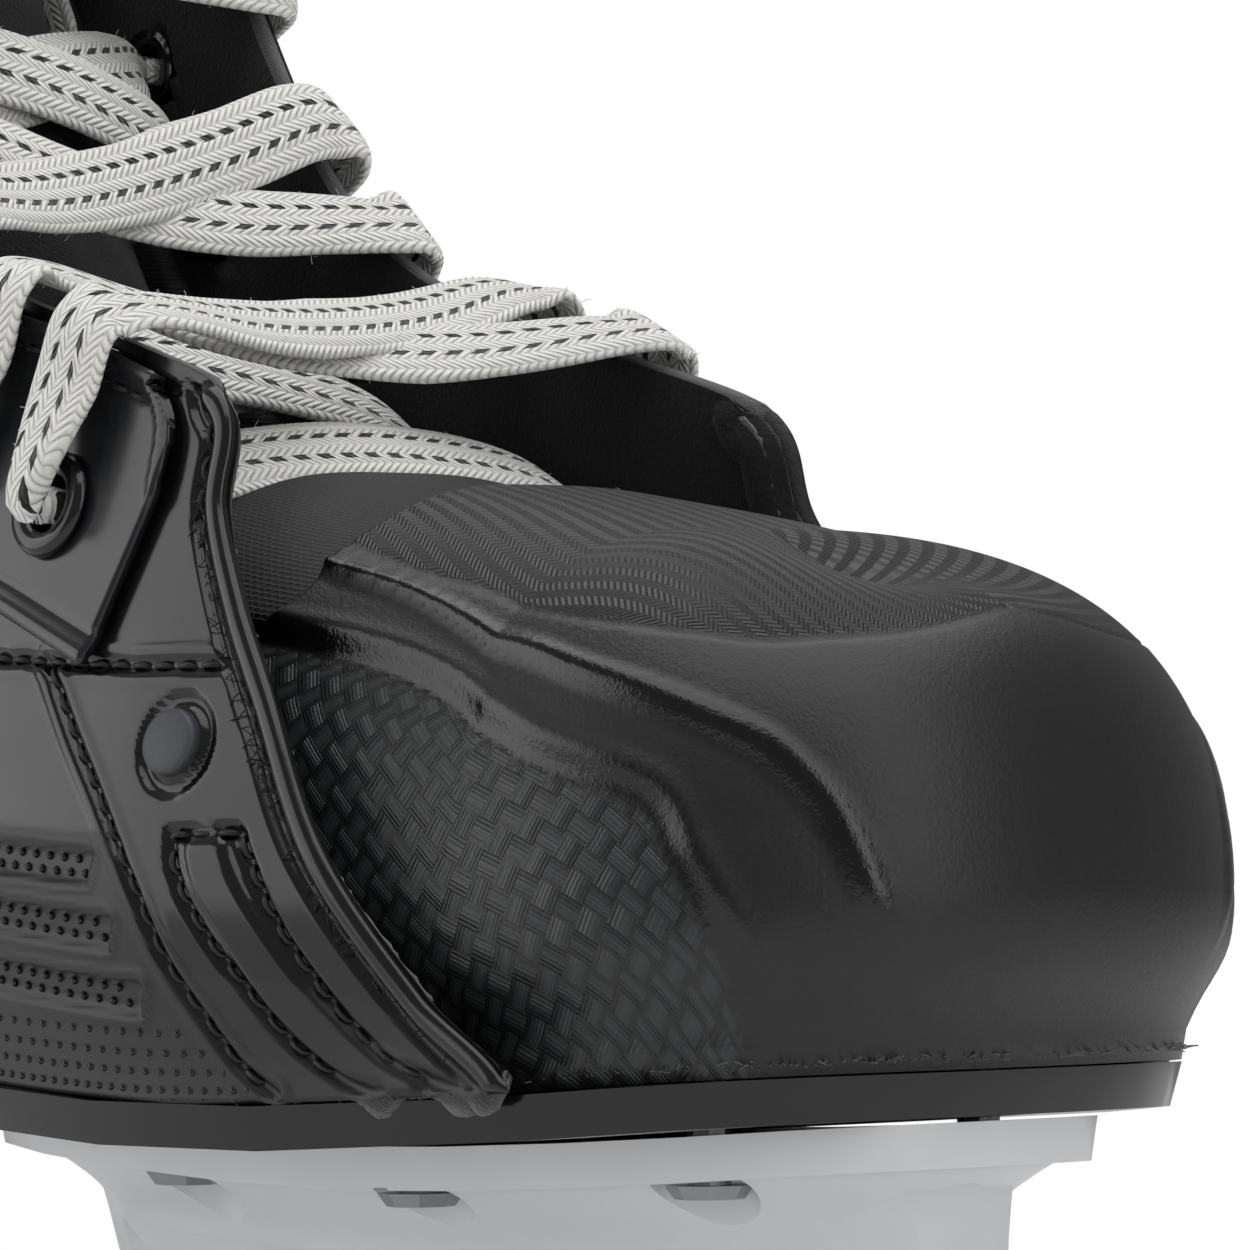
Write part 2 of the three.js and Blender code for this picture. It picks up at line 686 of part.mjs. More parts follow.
add(
  "tongue_flap",
  tonguePiece(TONGUE_TOP + GAP, TONGUE_TOP + TONGUE_FLAP, 4, TONGUE_THICKNESS),
  FINISHES.feltGrey,
);

// ---------- insole board, footbed and outsole ----------
// Rows of a plate across the boot, from the back of the heel to the tip of the toe.
function plateRows(inset) {
  const heelEnd = heelReach(0) - inset;
  const tipEnd = tipReach(0) - inset;
  const heel = steps(5).map((t) => {
    const turn = lerp(0.06, 0.5, t) * Math.PI;
    const half = (widthAtSole(HEEL_X) - inset) * Math.sin(turn);
    return { x: HEEL_X - heelEnd * Math.cos(turn), half };
  });
  const middle = steps(8).slice(1, -1).map((t) => {
    const x = lerp(HEEL_X, TOE_X, t);
    return { x, half: widthAtSole(x) - inset };
  });
  const toe = steps(7).map((t) => {
    const turn = lerp(0.5, 0.05, t) * Math.PI;
    const half = (widthAtSole(TOE_X) - inset) * Math.sin(turn) ** (2 / TIP_POWER);
    return { x: TOE_X + tipEnd * Math.cos(turn) ** (2 / TIP_POWER), half };
  });
  return [...heel, ...middle, ...toe];
}

function plate(inset, bottom, top, lip = 0) {
  const across = steps(4).map((t) => 2 * t - 1);
  const surface = (height, extra) =>
    grid(plateRows(inset - extra), across, (row, share) => {
      const y = centreAt(row.x) + share * row.half;
      return new THREE.Vector3(row.x, y, soleAt(row.x) + height);
    });
  return slab(surface(bottom, 0), surface(top, lip));
}

// ---------- blade holder ----------
const flangeTop = (x) => soleAt(x) - OUTSOLE_THICKNESS - 2 * GAP;
const rockerHeight = (x) => (x * x) / (2 * ROCKER_RADIUS);
const RAIL_BOTTOM = STEEL_EXPOSED;
const FRONT_TOWER = { rear: -0.015, front: 0.465, half: 29, name: "front" };
const REAR_TOWER = { rear: -0.475, front: -0.16, half: 27, name: "rear" };
const TOWER_SHARE = 0.52; // tower's width at its top against its flange's
const RAIL_REAR = -0.49 * BOOT_LENGTH;
const RAIL_FRONT = 0.485 * BOOT_LENGTH;

// A rounded rectangle in plan, as a ring of points at a height given per place.
function planRing(rear, front, half, heightAt, power = 4, count = 20) {
  const middle = (rear + front) / 2;
  const reach = (front - rear) / 2;
  return Array.from({ length: count }, (_, i) => {
    const angle = (i / count) * 2 * Math.PI;
    const bulge = (value) => Math.sign(value) * Math.abs(value) ** (2 / power);
    const x = middle + reach * bulge(Math.cos(angle));
    const y = centreAt(middle) / 2 + half * bulge(Math.sin(angle));
    return new THREE.Vector3(x, y, heightAt(x));
  });
}

function tower({ rear, front, half }) {
  const back = rear * BOOT_LENGTH;
  const nose = front * BOOT_LENGTH;
  const railTop = RAIL_BOTTOM + RAIL_HEIGHT;
  const levels = steps(4).map((t) => {
    const flare = t ** 3;
    const lean = (1 - t) * 8;
    const halfWidthHere = lerp(RAIL_HALF_WIDTH, TOWER_SHARE * half, 0.55 * t + 0.45 * flare);
    const heightAt = (x) => lerp(railTop - 6, flangeTop(x) - FLANGE_THICKNESS / 2, t);
    return planRing(back + 7 + lean, nose - 6 + 0.3 * lean, halfWidthHere, heightAt);
  });
  return [
    new LoftGeometry(levels, { capStart: true, capEnd: true }),
    flange(back, nose, half),
  ];
}

// The plate at a tower's top follows the sole and has rounded ends.
function flange(rear, front, half) {
  const rows = steps(12).map((t) => {
    const reach = 0.985 * Math.sin((t - 0.5) * Math.PI);
    const x = lerp(rear, front, (reach + 1) / 2);
    return { x, half: half * (1 - Math.abs(reach) ** 3.2) ** (1 / 3.2) };
  });
  const surface = (drop, inset) =>
    grid(rows, [-1, 1], (row, across) => {
      const y = centreAt((rear + front) / 2) / 2 + across * (row.half - inset);
      return new THREE.Vector3(row.x, y, flangeTop(row.x) - drop);
    });
  return slab(surface(0, 0), surface(FLANGE_THICKNESS, 1));
}

// The rail carries the steel and joins the two towers.
function rail() {
  const topAt = smoothCurve([
    [RAIL_REAR, RAIL_BOTTOM + 8],
    [-0.4 * BOOT_LENGTH, RAIL_BOTTOM + RAIL_HEIGHT],
    [-0.16 * BOOT_LENGTH, RAIL_BOTTOM + RAIL_HEIGHT + 1],
    [-0.05 * BOOT_LENGTH, RAIL_BOTTOM + RAIL_HEIGHT - 1],
    [0.1 * BOOT_LENGTH, RAIL_BOTTOM + RAIL_HEIGHT + 1],
    [0.4 * BOOT_LENGTH, RAIL_BOTTOM + RAIL_HEIGHT],
    [RAIL_FRONT, RAIL_BOTTOM + 7],
  ]);
  const sections = steps(14).map((t) => {
    const x = lerp(RAIL_REAR, RAIL_FRONT, t);
    const taper = Math.min(1, 0.55 + 6 * t, 0.55 + 6 * (1 - t));
    const half = RAIL_HALF_WIDTH * taper;
    const bottom = RAIL_BOTTOM + rockerHeight(x);
    const top = topAt(x);
    const chamfer = 1.6;
    return [
      [half - chamfer, bottom],
      [half, bottom + chamfer],
      [half, top - chamfer],
      [half - chamfer, top],
      [chamfer - half, top],
      [-half, top - chamfer],
      [-half, bottom + chamfer],
      [chamfer - half, bottom],
    ].map(([y, z]) => new THREE.Vector3(x, y, z));
  });
  return new LoftGeometry(sections, { capStart: true, capEnd: true });
}

// A flat piece cut from sheet lying in the XZ plane, centred on y = 0.
function sheetPiece(points, thickness, curveSegments = 8) {
  const shape = new THREE.Shape(points.map(([x, z]) => new THREE.Vector2(x, z)));
  const made = new THREE.ExtrudeGeometry(shape, {
    depth: thickness,
    bevelEnabled: false,
    curveSegments,
  });
  return made.rotateX(Math.PI / 2).translate(0, thickness / 2, 0);
}

// ---------- steel runner ----------
const STEEL_TOP = STEEL_EXPOSED + STEEL_INSERTED;
const PIVOT_X = 0.41 * BOOT_LENGTH; // front hook, about which the steel tips out
const PIVOT_Z = STEEL_TOP - 3;
const TAB_X = -0.33 * BOOT_LENGTH; // rear tab that the release holds
const TAB_TOP = STEEL_TOP + 12;
const TAB_HALF_LENGTH = 8;
const STEEL_REAR = -0.5 * BOOT_LENGTH;
const STEEL_FRONT = 0.475 * BOOT_LENGTH;

function runnerOutline() {
  const bottom = steps(24).map((t) => {
    const x = lerp(STEEL_REAR + 12, STEEL_FRONT - 14, t);
    return [x, rockerHeight(x)];
  });
  const frontCurl = steps(6).slice(1).map((t) => {
    const angle = t * (Math.PI / 2);
    return [STEEL_FRONT - 14 + 14 * Math.sin(angle), 3 + 17 * (1 - Math.cos(angle))];
  });
  const rearCurl = steps(6).slice(0, -1).map((t) => {
    const angle = (1 - t) * (Math.PI / 2);
    return [STEEL_REAR + 12 - 12 * Math.sin(angle), 3.2 + 11 * (1 - Math.cos(angle))];
  });
  return [
    ...rearCurl,
    ...bottom,
    ...frontCurl,
    [STEEL_FRONT - 2, 23],
    [PIVOT_X + 7, 25],
    [PIVOT_X + 4, STEEL_TOP],
    [PIVOT_X - 6, STEEL_TOP],
    [PIVOT_X - 9, 26],
    [0.3 * BOOT_LENGTH, 25],
    [TAB_X + 26, 25],
    [TAB_X + TAB_HALF_LENGTH + 3, STEEL_TOP - 3],
    [TAB_X + TAB_HALF_LENGTH, STEEL_TOP],
    [TAB_X + TAB_HALF_LENGTH, TAB_TOP - 2],
    [TAB_X + TAB_HALF_LENGTH - 2, TAB_TOP],
    [TAB_X + 2 - TAB_HALF_LENGTH, TAB_TOP],
    [TAB_X - TAB_HALF_LENGTH, TAB_TOP - 3],
    [TAB_X - TAB_HALF_LENGTH - 2, STEEL_TOP - 4],
    [STEEL_REAR + 6, 22],
  ];
}
const reliefTools = [-1, 1].map((side) =>
  block(BOOT_LENGTH + 20, 2, 2 * TAB_TOP, [
    0,
    side * (STEEL_THICKNESS / 2 - STEEL_RELIEF + 1),
    RAIL_BOTTOM - RELIEF_DROP + TAB_TOP,
  ]),
);
add("runner", cut(sheetPiece(runnerOutline(), STEEL_THICKNESS), reliefTools), FINISHES.steel);

// ---------- release trigger and its spring ----------
const TRIGGER_Z = TAB_TOP - 4.5; // middle of the nose, which bears on the tab's front face
const TRIGGER_NOSE = 0.9;
const NOSE_CLEARANCE = 0.9; // lets the steel and the release each move alone
const TRIGGER_REAR = TAB_X + TAB_HALF_LENGTH + NOSE_CLEARANCE + TRIGGER_NOSE;
const TRIGGER_LENGTH = 14;
const TRIGGER_HALF_WIDTH = 5;
const TRIGGER_HEIGHT = 11;
const WINDOW_FRONT = TRIGGER_REAR + TRIGGER_LENGTH + TRIGGER_TRAVEL + 9;
const nose = block(2 * TRIGGER_NOSE, 2.2, 2.2, [TRIGGER_REAR, 0, TRIGGER_Z]);
const body = block(TRIGGER_LENGTH, 2 * TRIGGER_HALF_WIDTH, TRIGGER_HEIGHT, [
  TRIGGER_REAR + TRIGGER_LENGTH / 2,
  0,
  TRIGGER_Z,
]);
const grips = [-1, 1].map((side) =>
  block(9, 9, 8, [TRIGGER_REAR + TRIGGER_LENGTH / 2, side * (TRIGGER_HALF_WIDTH + 4), TRIGGER_Z]),
);
add("release_trigger", join([nose, body, ...grips]), FINISHES.mouldedBlack);

class Helix extends THREE.Curve {
  constructor(start, length, radius, turns) {
    super();
    Object.assign(this, { start, length, radius, turns });
  }
  getPoint(t) {
    const angle = t * this.turns * 2 * Math.PI;
    const across = this.radius * Math.cos(angle);
    const up = this.radius * Math.sin(angle);
    return new THREE.Vector3(this.start.x + t * this.length, across, this.start.z + up);
  }
}
function wire(path, diameter, stations, sides) {
  const ring = new THREE.Shape(
    Array.from({ length: sides }, (_, i) => {
      const angle = (i / sides) * 2 * Math.PI;
      return new THREE.Vector2(Math.cos(angle), Math.sin(angle)).multiplyScalar(diameter / 2);
    }),
  );
  return new THREE.ExtrudeGeometry(ring, { extrudePath: path, steps: stations });
}
const SPRING_WIRE = 0.9;
const springEnd = SPRING_WIRE / 2 + GAP; // centre of the wire from the face it bears on
const springStart = new THREE.Vector3(TRIGGER_REAR + TRIGGER_LENGTH + springEnd, 0, TRIGGER_Z);
const springLength = WINDOW_FRONT - springStart.x - springEnd;
add(
  "trigger_spring",
  wire(new Helix(springStart, springLength, 3, 5), SPRING_WIRE, 40, 5),
  FINISHES.rivetSteel,
);

// ---------- rivets through the holder, outsole and board ----------
// Each row of rivets: its place along the boot and how far out its two rivets stand.
const RIVET_ROWS = [
  { x: 0.122, half: 20, end: "front" },
  { x: 0.252, half: 22.5, end: "front" },
  { x: 0.383, half: 19.5, end: "front" },
  { x: -0.375, half: 18.5, end: "rear" },
  { x: -0.3, half: 20.5, end: "rear" },
  { x: -0.22, half: 20.5, end: "rear" },
];
const rivetPlaces = RIVET_ROWS.flatMap(({ x, half, end }, row) =>
  SIDES.map(({ name, sign }) => {
    const along = x * BOOT_LENGTH;
    const y = sign * half + centreAt(along) / 2;
    return { name: `rivet_${end}_${name}_${(row % 3) + 1}`, x: along, y };
  }),
);
const UP = new THREE.Vector3(0, 0, 1);
const rivetHoles = rivetPlaces.map(({ x, y }) =>
  pin(new THREE.Vector3(x, y, 0), UP, RIVET_HOLE, 2 * SOLE_HEIGHT),
);
for (const { name, x, y } of rivetPlaces) {
  const under = flangeTop(x) - FLANGE_THICKNESS - GAP;
  const above = soleAt(x) + GAP + BOARD_THICKNESS + GAP;
  const head = RIVET_HEAD / 2;
  const shank = RIVET_SHANK / 2;
  const profile = [
    [0, under - RIVET_HEAD_HEIGHT],
    [head - 1, under - RIVET_HEAD_HEIGHT],
    [head, under],
    [shank, under],
    [shank, above],
    [head - 0.5, above],
    [head - 1, above + 0.9],
    [0, above + 0.9],
  ];
  const rivet = new THREE.LatheGeometry(profile.map(([r, z]) => new THREE.Vector2(r, z)), 8);
  const place = new THREE.Vector3(x, y, 0);
  add(name, stoodAt(rivet, place, UP), FINISHES.rivetSteel);
}

add(
  "outsole",
  cut(plate(-OUTSOLE_MARGIN + 1.2, -OUTSOLE_THICKNESS - GAP, -GAP, 1.2), rivetHoles),
  FINISHES.glossBlack,
);
add(
  "insole_board",
  cut(plate(BOARD_INSET, GAP, GAP + BOARD_THICKNESS), rivetHoles),
  FINISHES.boardBrown,
);
const footbedBottom = GAP + BOARD_THICKNESS + GAP + 1.2;
add(
  "footbed",
  plate(FOOTBED_INSET, footbedBottom, footbedBottom + FOOTBED_THICKNESS),
  FINISHES.feltGrey,
);

// ---------- holder: towers, rail, and the cuts for steel, release and rivets ----------
const slotTool = sheetPiece(
  [
    [STEEL_REAR - 2, RAIL_BOTTOM - 4],
    [STEEL_FRONT + 4, RAIL_BOTTOM - 4],
    [STEEL_FRONT + 4, STEEL_TOP + 4],
    [TAB_X + TAB_HALF_LENGTH + 2, STEEL_TOP + 4],
    [TAB_X + TAB_HALF_LENGTH + 2, TAB_TOP + 1.5],
    [TAB_X - 9, TAB_TOP + 1.5],
    [TAB_X - 12, STEEL_TOP + 1],
    [STEEL_REAR - 2, STEEL_TOP + 1],
  ],
  STEEL_THICKNESS + 2 * SLOT_CLEARANCE,
);
const windowTool = block(
  WINDOW_FRONT - TRIGGER_REAR + GAP,
  80,
  TRIGGER_HEIGHT + 2 * GAP,
  [(WINDOW_FRONT + TRIGGER_REAR - GAP) / 2, 0, TRIGGER_Z],
);
add(
  "holder",
  cut(join([...tower(FRONT_TOWER), ...tower(REAR_TOWER), rail()]), [
    slotTool,
    windowTool,
    ...rivetHoles,
  ]),
  FINISHES.whitePlastic,
);

// ---------- lace ----------
// Frames along the lace hold a place, the way its flat face looks, and whether it is
// spread flat there or bunched to pass an eyelet.
const FLANGE_TOP = LAYER_GAP + FACING_THICKNESS + GAP + 1.3;
const OUTSIDE_TURN = FLANGE_TOP + LACE_BUNCHED / 2 + 0.5;
const INSIDE_TURN = -(QUARTER_THICKNESS + GAP + 0.8 + LACE_BUNCHED / 2 + 0.5);
const EDGE_CLEARANCE = 3.6; // lace above the facing's edge where it goes over
const BAR_DEPTH = 11.5; // deepest that an inside crossing may sink at its middle

function alongWall(side, along, depth, offset) {
  const place = facingPlace(along, depth);
  return {
    place: offsetWall(side, place.x, place.y, offset),
    outward: outwardOf(side, place.x, place.y),
    flat: true,
  };
}

// Between the facings: `across` is a share of the half width there.
function betweenFacings(along, across, depth) {
  const place = facingPlace(along, depth);
  const tangent = facingCurve.getTangentAt(along / FACING_LENGTH);
  const y = centreAt(place.x) + across * halfWidth(place.x, place.y);
  return {
    place: new THREE.Vector3(place.x, y, soleAt(place.x) + place.y),
    outward: new THREE.Vector3(tangent.y, 0, -tangent.x),
    flat: true,
  };
}

function throughEyelet(side, index, inwards) {
  const { centre, outward } = eyeletPlace(side, index);
  const offsets = [INSIDE_TURN, -2, 2, OUTSIDE_TURN];
  if (inwards) offsets.reverse();
  return offsets.map((offset) => ({
    place: centre.clone().addScaledVector(outward, offset),
    outward,
    flat: false,
  }));
}

const insideDepth = (along) => Math.min(tongueDepth(along) - 2.6, BAR_DEPTH);

// From one facing to the other below their edges.
function insideCrossing(side, from, to, lift) {
  return [0.6, 0.3, 0, -0.3, -0.6].map((across) => {
    const along = lerp(from, to, (1 - across) / 2);
    const middle = 1 - across * across;
    const depth = lerp(EYELET_INSET, insideDepth(along), middle);
    return betweenFacings(along, side * across, depth + lift * middle);
  });
}

// From one facing over both edges to the other, outside the boot.
function outsideCrossing(side, from, to, lift) {
  const near = lerp(from, to, 0.08);
  const far = lerp(from, to, 0.92);
  const top = [0.9, 0.45, 0, -0.45, -0.9].map((across) => {
    const along = lerp(from, to, (1 - across) / 2);
    const middle = 1 - across * across;
    const depth = lerp(-EDGE_CLEARANCE, 1.2, middle);
    return betweenFacings(along, side * across, depth + lift * middle);
  });
  return [
    alongWall(side, near, 6.5, FLANGE_TOP + 1.2),
    alongWall(side, near, -1.4, LAYER_GAP + FACING_THICKNESS + 1.8),
    ...top,
    alongWall(-side, far, -1.4, LAYER_GAP + FACING_THICKNESS + 1.8),
    alongWall(-side, far, 6.5, FLANGE_TOP + 1.2),
  ];
}

// Half of the lace, from its first eyelet to the tail tucked down inside the boot.
function laceHalf(firstSide) {
  let side = firstSide;
  const frames = throughEyelet(side, 0, false);
  for (let index = 1; index < EYELETS_PER_SIDE; index++) {
    const from = eyeletPlace(side, index - 1).along;
    const to = eyeletPlace(-side, index).along;
    const over = index % 2 === 1;
    const crossing = over ? outsideCrossing : insideCrossing;
    frames.push(...crossing(side, from, to, firstSide * 1.15));
    side = -side;
    frames.push(...throughEyelet(side, index, over));
  }
  const last = eyeletPlace(side, EYELETS_PER_SIDE - 1).along;
  const tail = [[2, 20], [10, 25], [24, 27], [40, 28], [56, 28]];
  const tucked = tail.map(([down, depth]) => alongWall(side, last - down, depth, -9));
  return [...frames, ...tucked];
}

function laceFrames() {
  const first = eyeletPlace(-1, 0).along;
  const bar = [0.6, 0.2, -0.2, -0.6].map((across) =>
    betweenFacings(first, -across, lerp(EYELET_INSET, BAR_DEPTH, 1 - across * across)),
  );
  return [...laceHalf(-1).reverse(), ...bar, ...laceHalf(1)];
}

// A ribbon of eight-sided sections along the frames.
function ribbon(frames) {
  const sections = frames.map(({ place, outward, flat }, i) => {
    const before = frames[Math.max(i - 1, 0)].place;
    const after = frames[Math.min(i + 1, frames.length - 1)].place;
    const forward = after.clone().sub(before).normalize();
    const broad = new THREE.Vector3().crossVectors(forward, outward).normalize();
    const thin = new THREE.Vector3().crossVectors(broad, forward);
    const halfBroad = (flat ? LACE_WIDTH : LACE_BUNCHED) / 2;
    const halfThin = (flat ? LACE_THICKNESS : LACE_BUNCHED) / 2;
    return Array.from({ length: 8 }, (_, k) => {
      const angle = ((0.5 - k) / 8) * 2 * Math.PI;
      const a = Math.sign(Math.cos(angle)) * Math.abs(Math.cos(angle)) ** 0.6 * halfBroad;
      const b = Math.sign(Math.sin(angle)) * Math.abs(Math.sin(angle)) ** 0.6 * halfThin;
      return place.clone().addScaledVector(broad, a).addScaledVector(thin, b);
    });
  });
  return new LoftGeometry(sections, { capStart: true, capEnd: true });
}
add("lace", ribbon(laceFrames()), FINISHES.laceWhite);

// ---------- frame: middle of the box on the ice ----------
const box = new THREE.Box3().setFromObject(skate);
const middle = box.getCenter(new THREE.Vector3());
skate.position.set(-middle.x, -middle.y, -box.min.z);

export default skate;
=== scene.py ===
"""Looks of an ice hockey skate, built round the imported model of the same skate.

Every form is worked out in the maker's millimetres and then moved into the
model's metres. Each sub-assembly is a class that builds and dresses its pieces.
"""

import json
import logging
import math
import random
from dataclasses import dataclass, field
from enum import Enum
from typing import Callable, Sequence

import bmesh
import bpy
import numpy as np
from mathutils import Matrix, Vector

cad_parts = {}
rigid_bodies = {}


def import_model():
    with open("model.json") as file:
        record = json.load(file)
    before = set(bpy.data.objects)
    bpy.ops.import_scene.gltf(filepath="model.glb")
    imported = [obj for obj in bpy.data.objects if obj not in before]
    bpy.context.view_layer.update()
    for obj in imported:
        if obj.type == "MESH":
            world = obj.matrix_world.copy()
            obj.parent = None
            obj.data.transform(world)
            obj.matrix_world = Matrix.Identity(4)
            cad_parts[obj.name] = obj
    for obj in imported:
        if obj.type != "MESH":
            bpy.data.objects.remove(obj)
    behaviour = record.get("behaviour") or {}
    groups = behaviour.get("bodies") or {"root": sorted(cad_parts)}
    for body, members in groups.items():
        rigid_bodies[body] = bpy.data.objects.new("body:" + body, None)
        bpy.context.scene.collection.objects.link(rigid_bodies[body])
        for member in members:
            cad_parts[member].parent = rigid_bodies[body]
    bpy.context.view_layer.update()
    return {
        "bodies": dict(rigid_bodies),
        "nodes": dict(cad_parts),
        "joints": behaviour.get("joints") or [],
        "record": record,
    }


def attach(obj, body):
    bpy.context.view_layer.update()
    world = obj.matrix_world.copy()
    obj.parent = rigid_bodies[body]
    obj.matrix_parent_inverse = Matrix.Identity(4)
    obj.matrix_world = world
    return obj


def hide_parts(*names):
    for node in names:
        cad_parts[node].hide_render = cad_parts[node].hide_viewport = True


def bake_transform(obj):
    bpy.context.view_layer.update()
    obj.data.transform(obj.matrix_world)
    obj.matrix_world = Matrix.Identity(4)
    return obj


Array = np.ndarray
LOG = logging.getLogger("skate")
MM = 0.001  # the forms below are written in millimetres, and the model is in metres
MAKER_SHIFT = np.array((0.9408, -1.0928, -0.0036))  # maker's frame to the model's frame, in mm


def smooth_curve(knots: Sequence[tuple[float, float]]) -> Callable[[Array], Array]:
    """Makes a smooth curve through rising knots, level beyond both ends.

    Args:
        knots: Pairs of place and value.

    Returns:
        A function from places to values.
    """
    places, values = (np.array(column, float) for column in zip(*knots))
    slopes = np.zeros(len(places))
    slopes[1:-1] = (values[2:] - values[:-2]) / (places[2:] - places[:-2])

    def at(place: Array) -> Array:
        """Gives the curve's value at each place."""
        inside = np.clip(place, places[0], places[-1])
        i = np.clip(np.searchsorted(places, inside, side="right") - 1, 0, len(places) - 2)
        span = places[i + 1] - places[i]
        t = (inside - places[i]) / span
        rise = values[i + 1] - values[i]
        pull = t * (1 - t) ** 2 * slopes[i] + t * t * (t - 1) * slopes[i + 1]
        return values[i] + rise * t * t * (3 - 2 * t) + pull * span

    return at


def smoothstep(value: Array, low: float, high: float) -> Array:
    """Eases from 0 below `low` to 1 above `high`."""
    t = np.clip((value - low) / (high - low), 0, 1)
    return t * t * (3 - 2 * t)


def lerp(start: Array, end: Array, share: Array) -> Array:
    """Mixes two values."""
    return start + (end - start) * share


def spline(knots: Sequence[Sequence[float]], count: int) -> Array:
    """Runs a smooth curve through knots of any size and cuts it into even steps.

    Args:
        knots: The points that the curve passes.
        count: How many points to give back.

    Returns:
        An array of `count` points, evenly spaced along the curve.
    """
    points = np.array(knots, float)
    padded = np.vstack([points[0], points, points[-1]])
    parts = []
    for i in range(len(points) - 1):
        a, b, c, d = padded[i : i + 4]
        t = np.linspace(0, 1, 24, endpoint=False)[:, None]
        parts.append(
            0.5 * (2 * b + (c - a) * t + (2 * a - 5 * b + 4 * c - d) * t**2)
            + 0.5 * (3 * b - a - 3 * c + d) * t**3
        )
    fine = np.vstack([*parts, points[-1:]])
    gone = np.concatenate([[0], np.cumsum(np.linalg.norm(np.diff(fine, axis=0), axis=1))])
    wanted = np.linspace(0, gone[-1], count)
    return np.stack([np.interp(wanted, gone, fine[:, k]) for k in range(points.shape[1])], 1)


@dataclass(frozen=True)
class BootForm:
    """The boot's outer wall and sole line, in millimetres."""

    length: float = 290.0
    width: float = 104.0
    height: float = 176.0
    sole_height: float = 69.0
    heel_lift: float = 8.0
    toe_spring: float = 3.0
    facing_length: float = 155.74
    cap_setback: float = 3.9
    widths: tuple[tuple[float, ...], ...] = (
        (0.64, 0.63, 0.74, 0.95, 0.92),
        (0.7, 0.69, 0.81, 1.0, 0.96),
        (0.68, 0.66, 0.67, 0.76, 0.74),
        (0.74, 0.71, 0.66, 0.7, 0.7),
        (0.76, 0.76, 0.73, 0.73, 0.73),
    )
    front_edge: tuple[tuple[float, float], ...] = (
        (0.382, 0),
        (0.346, 0.057),
        (0.305, 0.142),
        (0.274, 0.227),
        (0.25, 0.284),
        (0.23, 0.341),
    )
    facing_edge: tuple[tuple[float, float], ...] = (
        (0.217, 0.41),
        (0.148, 0.445),
        (0.097, 0.464),
        (0.062, 0.485),
        (0.024, 0.524),
        (0, 0.569),
        (-0.041, 0.672),
        (-0.076, 0.782),
        (-0.11, 0.895),
        (-0.131, 1),
    )

    @property
    def heel_x(self) -> float:
        """Place where the sides turn into the heel."""
        return -0.285 * self.length

    @property
    def toe_x(self) -> float:
        """Place where the sides turn into the tip."""
        return 0.34 * self.length

    @property
    def heel_wrap(self) -> float:
        """Run of the wall from `heel_x` to the middle of the back."""
        return 0.26 * self.length

    @property
    def back(self) -> float:
        """Run of the middle of the back of the heel."""
        return self.heel_x - self.heel_wrap

    def half_width(self, x: Array, height: Array) -> Array:
        """Gives the wall's half width at places along and heights above the sole."""
        x, height = np.broadcast_arrays(np.asarray(x, float), np.asarray(height, float))
        half = self.width / 2
        places = (self.heel_x, -0.14 * self.length, 0.0, 0.2 * self.length, self.toe_x)
        values = np.stack(
            [smooth_curve([(p, w * half) for p, w in zip(places, row)])(x) for row in self.widths]
        )
        levels = np.array((0, 0.14, 0.41, 0.65, 1.0)) * self.height
        slopes = np.zeros_like(values)
        spans = (levels[2:] - levels[:-2]).reshape(-1, *[1] * x.ndim)
        slopes[1:-1] = (values[2:] - values[:-2]) / spans
        inside = np.clip(height, 0, self.height)
        i = np.clip(np.searchsorted(levels, inside, side="right") - 1, 0, len(levels) - 2)
        span = levels[i + 1] - levels[i]
        t = (inside - levels[i]) / span

        def pick(table: Array, index: Array) -> Array:
            """Takes one row of a table for each place."""
            return np.take_along_axis(table, index[None], 0)[0]

        low, high = pick(values, i), pick(values, i + 1)
        pull = t * (1 - t) ** 2 * pick(slopes, i) + t * t * (t - 1) * pick(slopes, i + 1)
        return low + (high - low) * t * t * (3 - 2 * t) + pull * span

    def heel_reach(self, height: Array) -> Array:
        """Gives how far the heel's wall reaches behind `heel_x`."""
        knots = ((0, 0.188), (0.14, 0.212), (0.41, 0.195), (0.65, 0.163), (0.9, 0.15), (1.2, 0.18))
        return smooth_curve([(h * self.height, r * self.length) for h, r in knots])(height)

    def sole_at(self, x: Array) -> Array:
        """Gives the height of the boot's underside."""
        ball = self.sole_height
        return smooth_curve(
            [
                (self.heel_x, ball + self.heel_lift),
                (0.2 * self.length, ball),
                (self.toe_x, ball + self.toe_spring / 4),
                (0.5 * self.length, ball + self.toe_spring),
            ]
        )(x)

    def centre_at(self, x: Array) -> Array:
        """Gives the foot's centre line, which swings to the inner side at the toe."""
        return smooth_curve([(self.heel_x, 0), (0, -1), (0.5 * self.length, 3)])(x)

    def wall(self, side: int, run: Array, height: Array) -> Array:
        """Gives points of the outer wall.

        Args:
            side: -1 for the outer side of the foot, 1 for the inner side.
            run: x along the side, going on round the heel.
            height: Height above the sole.

        Returns:
            Points in the last axis.
        """
        run, height = np.broadcast_arrays(np.asarray(run, float), np.asarray(height, float))
        turn = np.maximum(self.heel_x - run, 0) / self.heel_wrap * (math.pi / 2)
        bent = self.heel_x - self.heel_reach(height) * np.sin(turn)
        x = np.where(turn > 0, bent, run)
        y = side * self.half_width(np.maximum(run, self.heel_x), height) * np.cos(turn)
        return np.stack([x, self.centre_at(x) + y, self.sole_at(x) + height], -1)

